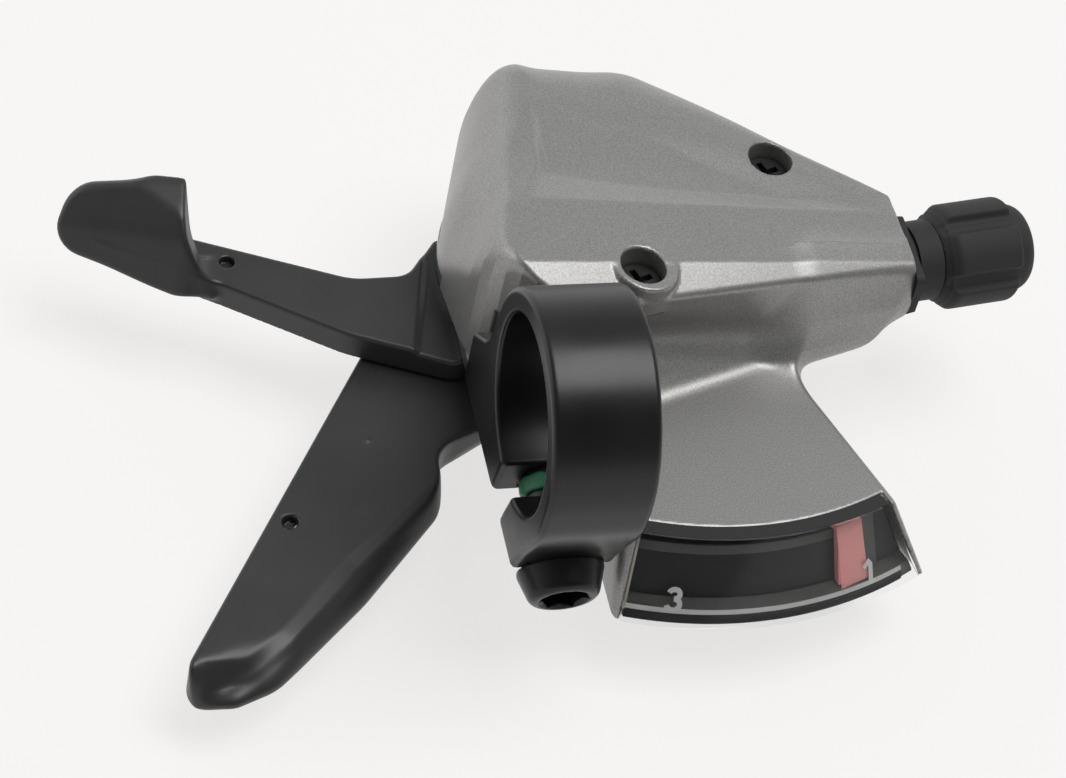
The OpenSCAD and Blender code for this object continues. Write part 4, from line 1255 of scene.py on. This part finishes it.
@dataclass
class Display(Piece):
    """The marks on the dial and on the inside of the window, and a painted shade over the window's top face.
    """

    cover: Cover
    window: Depth = Depth(1.83, "clear_plastic")
    dial: Depth = Depth(3.62, "black_plastic")
    needle: Depth = Depth(2.2, "needle_red", Body.POINTER)
    strip_t: float = 0.07

    # The straight marks
    scale_line: Mark = Mark((-107.0, -63.2), (-23.4, -23.4), 0.5)
    dial_band: Mark = Mark((-106.9, -66.0), (-17.8, -17.8), 1.0)
    dial_end: Mark = Mark((-69.6, -66.0), (-20.8, -20.8), 5.0)
    window_edge: Mark = Mark((-107.15, -107.15), (-15.2, -23.8), 0.35, 12)
    window_foot: Mark = Mark((-107.0, -63.2), (-24.1, -24.1), 0.78)
    # A cream strip at the window's top right end, a painted highlight.
    window_tab: Mark = Mark((-65.6, -63.9), (-14.9, -14.9), 1.0, 6)
    needle_face: Mark = Mark((-72.1, -71.4), (-15.95, -23.2), 3.5, 12)

    # The figures, which stand on the scale line
    line_z: float = -23.4
    digit_h: float = 2.7
    digit_w: float = 0.55
    digit_low: float = 0.1
    three_deg: float = -100.2
    three_wide: float = 1.15
    three_bowls: Spot = (0.27, 0.23)
    three_upper: tuple[float, float, int] = (165, -85, 18)
    three_lower: tuple[float, float, int] = (85, -165, 20)
    one_deg: float = -69.0
    one_flag: float = 0.75
    one_stem: float = 0.12
    one_bend: float = 0.5

    # The painted shade over the window's top face
    painted_shade_degs: Spot = (-107.2, -65.7)
    painted_shade_lift: float = 0.01
    painted_shade_t: float = 0.05
    painted_shade_in: float = 0.15
    painted_shade_n: int = 60

    def strip(self, name: str, rows: Sequence[Array], finish: Finish, depth: Depth) -> None:
        """Closes four rows of points to a thin flat-faced strip.

        Args:
            name: the object's name.
            rows: the rows in their order round the strip.
            finish: its material.
            depth: where it lies.
        """
        n, loop = len(rows[0]), range(len(rows))
        faces = [
            (a * n + i, a * n + i + 1, b * n + i + 1, b * n + i)
            for i in range(n - 1) for a, b in zip(loop, (*loop[1:], 0))
        ]
        faces += [[a * n for a in reversed(loop)], [a * n + n - 1 for a in loop]]
        made = self.mesh(name, np.concatenate(rows), faces, finish)
        self.place(made, depth.body, depth.slot)

    def ribbon(self, name: str, path: Array, width: float, finish: Finish, depth: Depth) -> None:
        """Lays a thin strip on a cone inside the display.

        Args:
            name: the object's name.
            path: its middle line as rows of arc lengths and heights.
            width: its width.
            finish: its material.
            depth: where it lies.
        """
        step = np.gradient(path, axis=0)
        side = np.stack([-step[:, 1], step[:, 0]], axis=1) / np.maximum(np.hypot(*step.T), TINY)[:, None]
        rows = []
        for sunk, share in ((0.0, -0.5), (0.0, 0.5), (self.strip_t, 0.5), (self.strip_t, -0.5)):
            arc, z = (path + side * width * share).T
            r = self.cover.window_front(z) - depth.back - sunk
            rows.append(self.cover.around(r, arc / self.cover.window_r, z))
        self.strip(name, rows, finish, depth)

    def painted_shade(self, name: str, finish: Finish) -> None:
        """Covers the window's top face with a thin dark strip of painted shade.

        Args:
            name: the object's name.
            finish: its material.
        """
        turn = np.radians(np.linspace(*self.painted_shade_degs, self.painted_shade_n))
        z = self.cover.hood_top + self.painted_shade_lift
        front = self.cover.window_front(z)
        outer, inner = front - self.painted_shade_in, front - self.cover.window_t - self.painted_shade_t
        corners = ((inner, z), (outer, z), (outer, z + self.painted_shade_t), (inner, z + self.painted_shade_t))
        rows = [self.cover.around(r, turn, np.full(len(turn), level)) for r, level in corners]
        self.strip(name, rows, finish, self.window)

    def straight(self, name: str, mark: Mark, finish: Finish, depth: Depth) -> None:
        """Lays a straight mark.

        Args:
            name: the object's name.
            mark: its ends and its width.
            finish: its material.
            depth: where it lies.
        """
        arc = np.radians(np.linspace(*mark.degs, mark.count)) * self.cover.window_r
        path = np.stack([arc, np.linspace(*mark.heights, mark.count)], axis=1)
        self.ribbon(name, path, mark.width, finish, depth)

    def three(self) -> Array:
        """Draws a figure three that stands on the line.

        Returns:
            Its path as rows of arc lengths and heights.
        """
        low, high = (share * self.digit_h - self.digit_low for share in self.three_bowls)
        foot = self.line_z + self.digit_low
        upper, lower = (np.radians(np.linspace(*arc)) for arc in (self.three_upper, self.three_lower))
        centre = math.radians(self.three_deg) * self.cover.window_r
        bowls = [
            np.stack([self.three_wide * r * np.cos(turn), base + r * (1.0 + np.sin(turn))], axis=1)
            for r, turn, base in ((high, upper, foot + 2.0 * low), (low, lower, foot))
        ]
        return np.concatenate(bowls) + (centre, 0.0)

    def one(self) -> Array:
        """Draws a figure one that stands on the line.

        Returns:
            Its path as rows of arc lengths and heights.
        """
        centre = math.radians(self.one_deg) * self.cover.window_r
        head = self.line_z + self.digit_h
        return np.array((
            (-self.one_flag, head - self.one_flag), (0.0, head - self.digit_low),
            (self.one_stem, head - self.one_bend), (self.one_stem, self.line_z),
        )) + (centre, 0.0)

    def build(self) -> None:
        """Makes the scale line, the numbers, the grey parts of the dial, the window's edges, the painted
        shade over the window's top face and the painted highlight at its top right end.
        """
        ink, case, cream, black = Finishes.INK, Finishes.CASE, Finishes.CREAM, Finishes.DIAL
        self.straight("scale_line", self.scale_line, ink, self.window)
        self.ribbon("figure_three", self.three(), self.digit_w, ink, self.window)
        self.ribbon("figure_one", self.one(), self.digit_w, ink, self.window)
        self.straight("dial_band", self.dial_band, case, self.dial)
        self.straight("dial_end", self.dial_end, case, self.dial)
        self.straight("window_edge", self.window_edge, cream, self.window)
        self.straight("window_foot", self.window_foot, black, self.window)
        # Painted shade: a dark strip over the window's top face.
        self.painted_shade("window_ledge", black)
        # Painted highlight: a cream strip at the window's top right end.
        self.straight("window_tab", self.window_tab, cream, self.window)
        self.straight("needle_face", self.needle_face, Finishes.NEEDLE, self.needle)


class Carried:
    """The CAD nodes that stay as they are, with their materials."""

    FINISH_OF_SLOT: dict[str, Finish] = {
        "clamp_black": Finishes.CLAMP, "bolt_black": Finishes.BOLT, "zinc_steel": Finishes.ZINC,
        "plain_steel": Finishes.STEEL, "spring_steel": Finishes.SPRING, "cover_grey": Finishes.COVER,
        "black_plastic": Finishes.BLACK, "lever_plastic": Finishes.LEVER, "clear_plastic": Finishes.WINDOW,
        "drum_resin": Finishes.RESIN, "needle_red": Finishes.NEEDLE,
    }

    FINISH_OF_NODE: dict[str, Finish] = {
        "indicator_case": Finishes.CASE, "indicator_dial": Finishes.DIAL, "cover_screws": Finishes.SCREW,
    }

    def dress(self) -> None:
        """Gives each CAD node its material."""
        slots = {part["node"]: part["material_slot"] for part in frame["record"]["subparts"]}
        for name, node in frame["nodes"].items():
            finish = self.FINISH_OF_NODE.get(name) or self.FINISH_OF_SLOT[slots[name]]
            node.data.materials.clear()
            node.data.materials.append(finish.material())


@dataclass(frozen=True)
class Lamp:
    """A soft square lamp that hangs over the floor."""

    name: str
    spot: Place
    size: float
    power: float


@dataclass
class Studio:
    """The floor, the light and the camera."""

    # The camera, fitted to the photograph
    eye: Place = (-91.6962, -215.0615, 260.5119)
    right: Place = (0.967171, -0.196604, 0.161019)
    up: Place = (0.045611, 0.757624, 0.651095)
    back: Place = (-0.25, -0.622376, 0.741719)
    focal: float = 108.743
    sensor: float = 36.0
    clip: Spot = (0.01, 20.0)

    # The floor, whose half side is in metres
    half: float = 4.0
    paper_tone: Rgb = (0.86, 0.85, 0.84)
    paper_dull: float = 0.9
    glow_tone: Rgb = (1.0, 0.985, 0.97)
    glow_share: float = 0.73

    # The room's light: along each axis, where it changes and between which strengths
    sky_tone: Rgb = (0.97, 0.985, 1.0)
    sky: tuple[tuple[str, Spot, Spot], ...] = (
        ("Z", (0.0, 0.7), (1.15, 0.5)), ("X", (-0.9, 0.9), (1.05, 0.8)), ("Y", (-0.7, 0.5), (0.2, 1.08)))
    lamps: tuple[Lamp, ...] = (
        Lamp("overhead", (220.0, -20.0, 690.0), 430.0, 3.2), Lamp("left", (-620.0, 240.0, 260.0), 420.0, 0.5))
    aim: Place = (0.0, 20.0, -10.0)

    def build(self) -> None:
        """Sets the stage."""
        scene = bpy.context.scene
        scene.view_settings.view_transform = "Standard"
        self.camera(scene)
        self.floor(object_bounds()[0][2])
        self.room(scene)
        self.hang(scene)

    def camera(self, scene: bpy.types.Scene) -> None:
        """Puts the camera where the photograph was taken from.

        Args:
            scene: the scene to look at.
        """
        data = bpy.data.cameras.new("camera")
        data.lens, data.sensor_width, data.sensor_fit = self.focal, self.sensor, "HORIZONTAL"
        data.clip_start, data.clip_end = self.clip
        made = bpy.data.objects.new("camera", data)
        turn = Matrix((self.right, self.up, self.back)).transposed()
        made.matrix_world = Matrix.Translation(Vector(self.eye) * MM) @ turn.to_4x4()
        scene.collection.objects.link(made)
        scene.camera = made

    def floor(self, low: float) -> None:
        """Lays a plain pale floor.

        Args:
            low: the lowest point of the object, in metres.
        """
        mesh = bpy.data.meshes.new("floor")
        corners = [(x * self.half, y * self.half, low) for x, y in ((-1, -1), (1, -1), (1, 1), (-1, 1))]
        mesh.from_pydata(corners, [], [(0, 1, 2, 3)])
        made = bpy.data.objects.new("floor", mesh)
        mesh.materials.append(self.paper())
        bpy.context.scene.collection.objects.link(made)
        made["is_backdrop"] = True

    def paper(self) -> bpy.types.Material:
        """Makes the floor's paper, which looks nearly white and keeps a faint shadow.

        Returns:
            The material.
        """
        paper = bpy.data.materials.new("pale_paper")
        paper.use_nodes = True
        nodes, link = paper.node_tree.nodes, paper.node_tree.links.new
        shader = tune(nodes["Principled BSDF"], {
            "Base Color": (*self.paper_tone, 1.0), "Roughness": self.paper_dull})
        glow = tune(nodes.new("ShaderNodeEmission"), {"Color": (*self.glow_tone, 1.0)})
        path = nodes.new("ShaderNodeLightPath")
        seen = path.outputs["Is Camera Ray"]
        for name in ("Is Glossy Ray", "Is Transmission Ray"):
            seen = self.maths(paper.node_tree, "MAXIMUM", seen, path.outputs[name])
        share = nodes.new("ShaderNodeMath")
        share.operation = "MULTIPLY"
        share.inputs[1].default_value = self.glow_share
        link(seen, share.inputs[0])
        mix = nodes.new("ShaderNodeMixShader")
        link(share.outputs["Value"], mix.inputs["Fac"])
        link(shader.outputs["BSDF"], mix.inputs[1])
        link(glow.outputs["Emission"], mix.inputs[2])
        link(mix.outputs["Shader"], nodes["Material Output"].inputs["Surface"])
        return paper

    @staticmethod
    def maths(tree: bpy.types.NodeTree, operation: str, first: bpy.types.NodeSocket,
               second: bpy.types.NodeSocket) -> bpy.types.NodeSocket:
        """Joins two values by a maths node.

        Args:
            tree: the tree that gets the node.
            operation: what the node does.
            first: the socket of the first value.
            second: the socket of the second value.

        Returns:
            The socket of the result.
        """
        node = tree.nodes.new("ShaderNodeMath")
        node.operation = operation
        tree.links.new(first, node.inputs[0])
        tree.links.new(second, node.inputs[1])
        return node.outputs["Value"]

    def room(self, scene: bpy.types.Scene) -> None:
        """Lights the room brighter at its horizon, left and front.

        Args:
            scene: the scene to light.
        """
        world = bpy.data.worlds.new("studio")
        scene.world = world
        world.use_nodes = True
        tree = world.node_tree
        place = tree.nodes.new("ShaderNodeTexCoord")
        apart = tree.nodes.new("ShaderNodeSeparateXYZ")
        tree.links.new(place.outputs["Generated"], apart.inputs["Vector"])
        fades = []
        for axis, ends, values in self.sky:
            fade = tune(tree.nodes.new("ShaderNodeMapRange"), {
                "From Min": ends[0], "From Max": ends[1], "To Min": values[0], "To Max": values[1]})
            tree.links.new(apart.outputs[axis], fade.inputs["Value"])
            fades.append(fade.outputs["Result"])
        total = reduce(lambda a, b: self.maths(tree, "MULTIPLY", a, b), fades)
        sky = tune(tree.nodes["Background"], {"Color": (*self.sky_tone, 1.0)})
        tree.links.new(total, sky.inputs["Strength"])

    def hang(self, scene: bpy.types.Scene) -> None:
        """Hangs the lamps and points them at the object.

        Args:
            scene: the scene to light.
        """
        for lamp in self.lamps:
            data = bpy.data.lights.new(lamp.name, "AREA")
            data.size, data.energy = lamp.size * MM, lamp.power
            made = bpy.data.objects.new(lamp.name, data)
            made.location = Vector(lamp.spot) * MM
            way = Vector(self.aim) * MM - made.location
            made.rotation_euler = way.to_track_quat("-Z", "Y").to_euler()
            scene.collection.objects.link(made)


def main() -> None:
    """Builds the shifter piece by piece."""
    logging.basicConfig(level=logging.INFO, format="%(name)s: %(message)s")
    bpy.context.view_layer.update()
    Carried().dress()
    cover = Cover()
    for part in (cover, Clamp(), ThumbLever(), TriggerLever(), Adjuster(), Display(cover)):
        part.build()
    Studio().build()


if __name__ == "__main__":
    main()
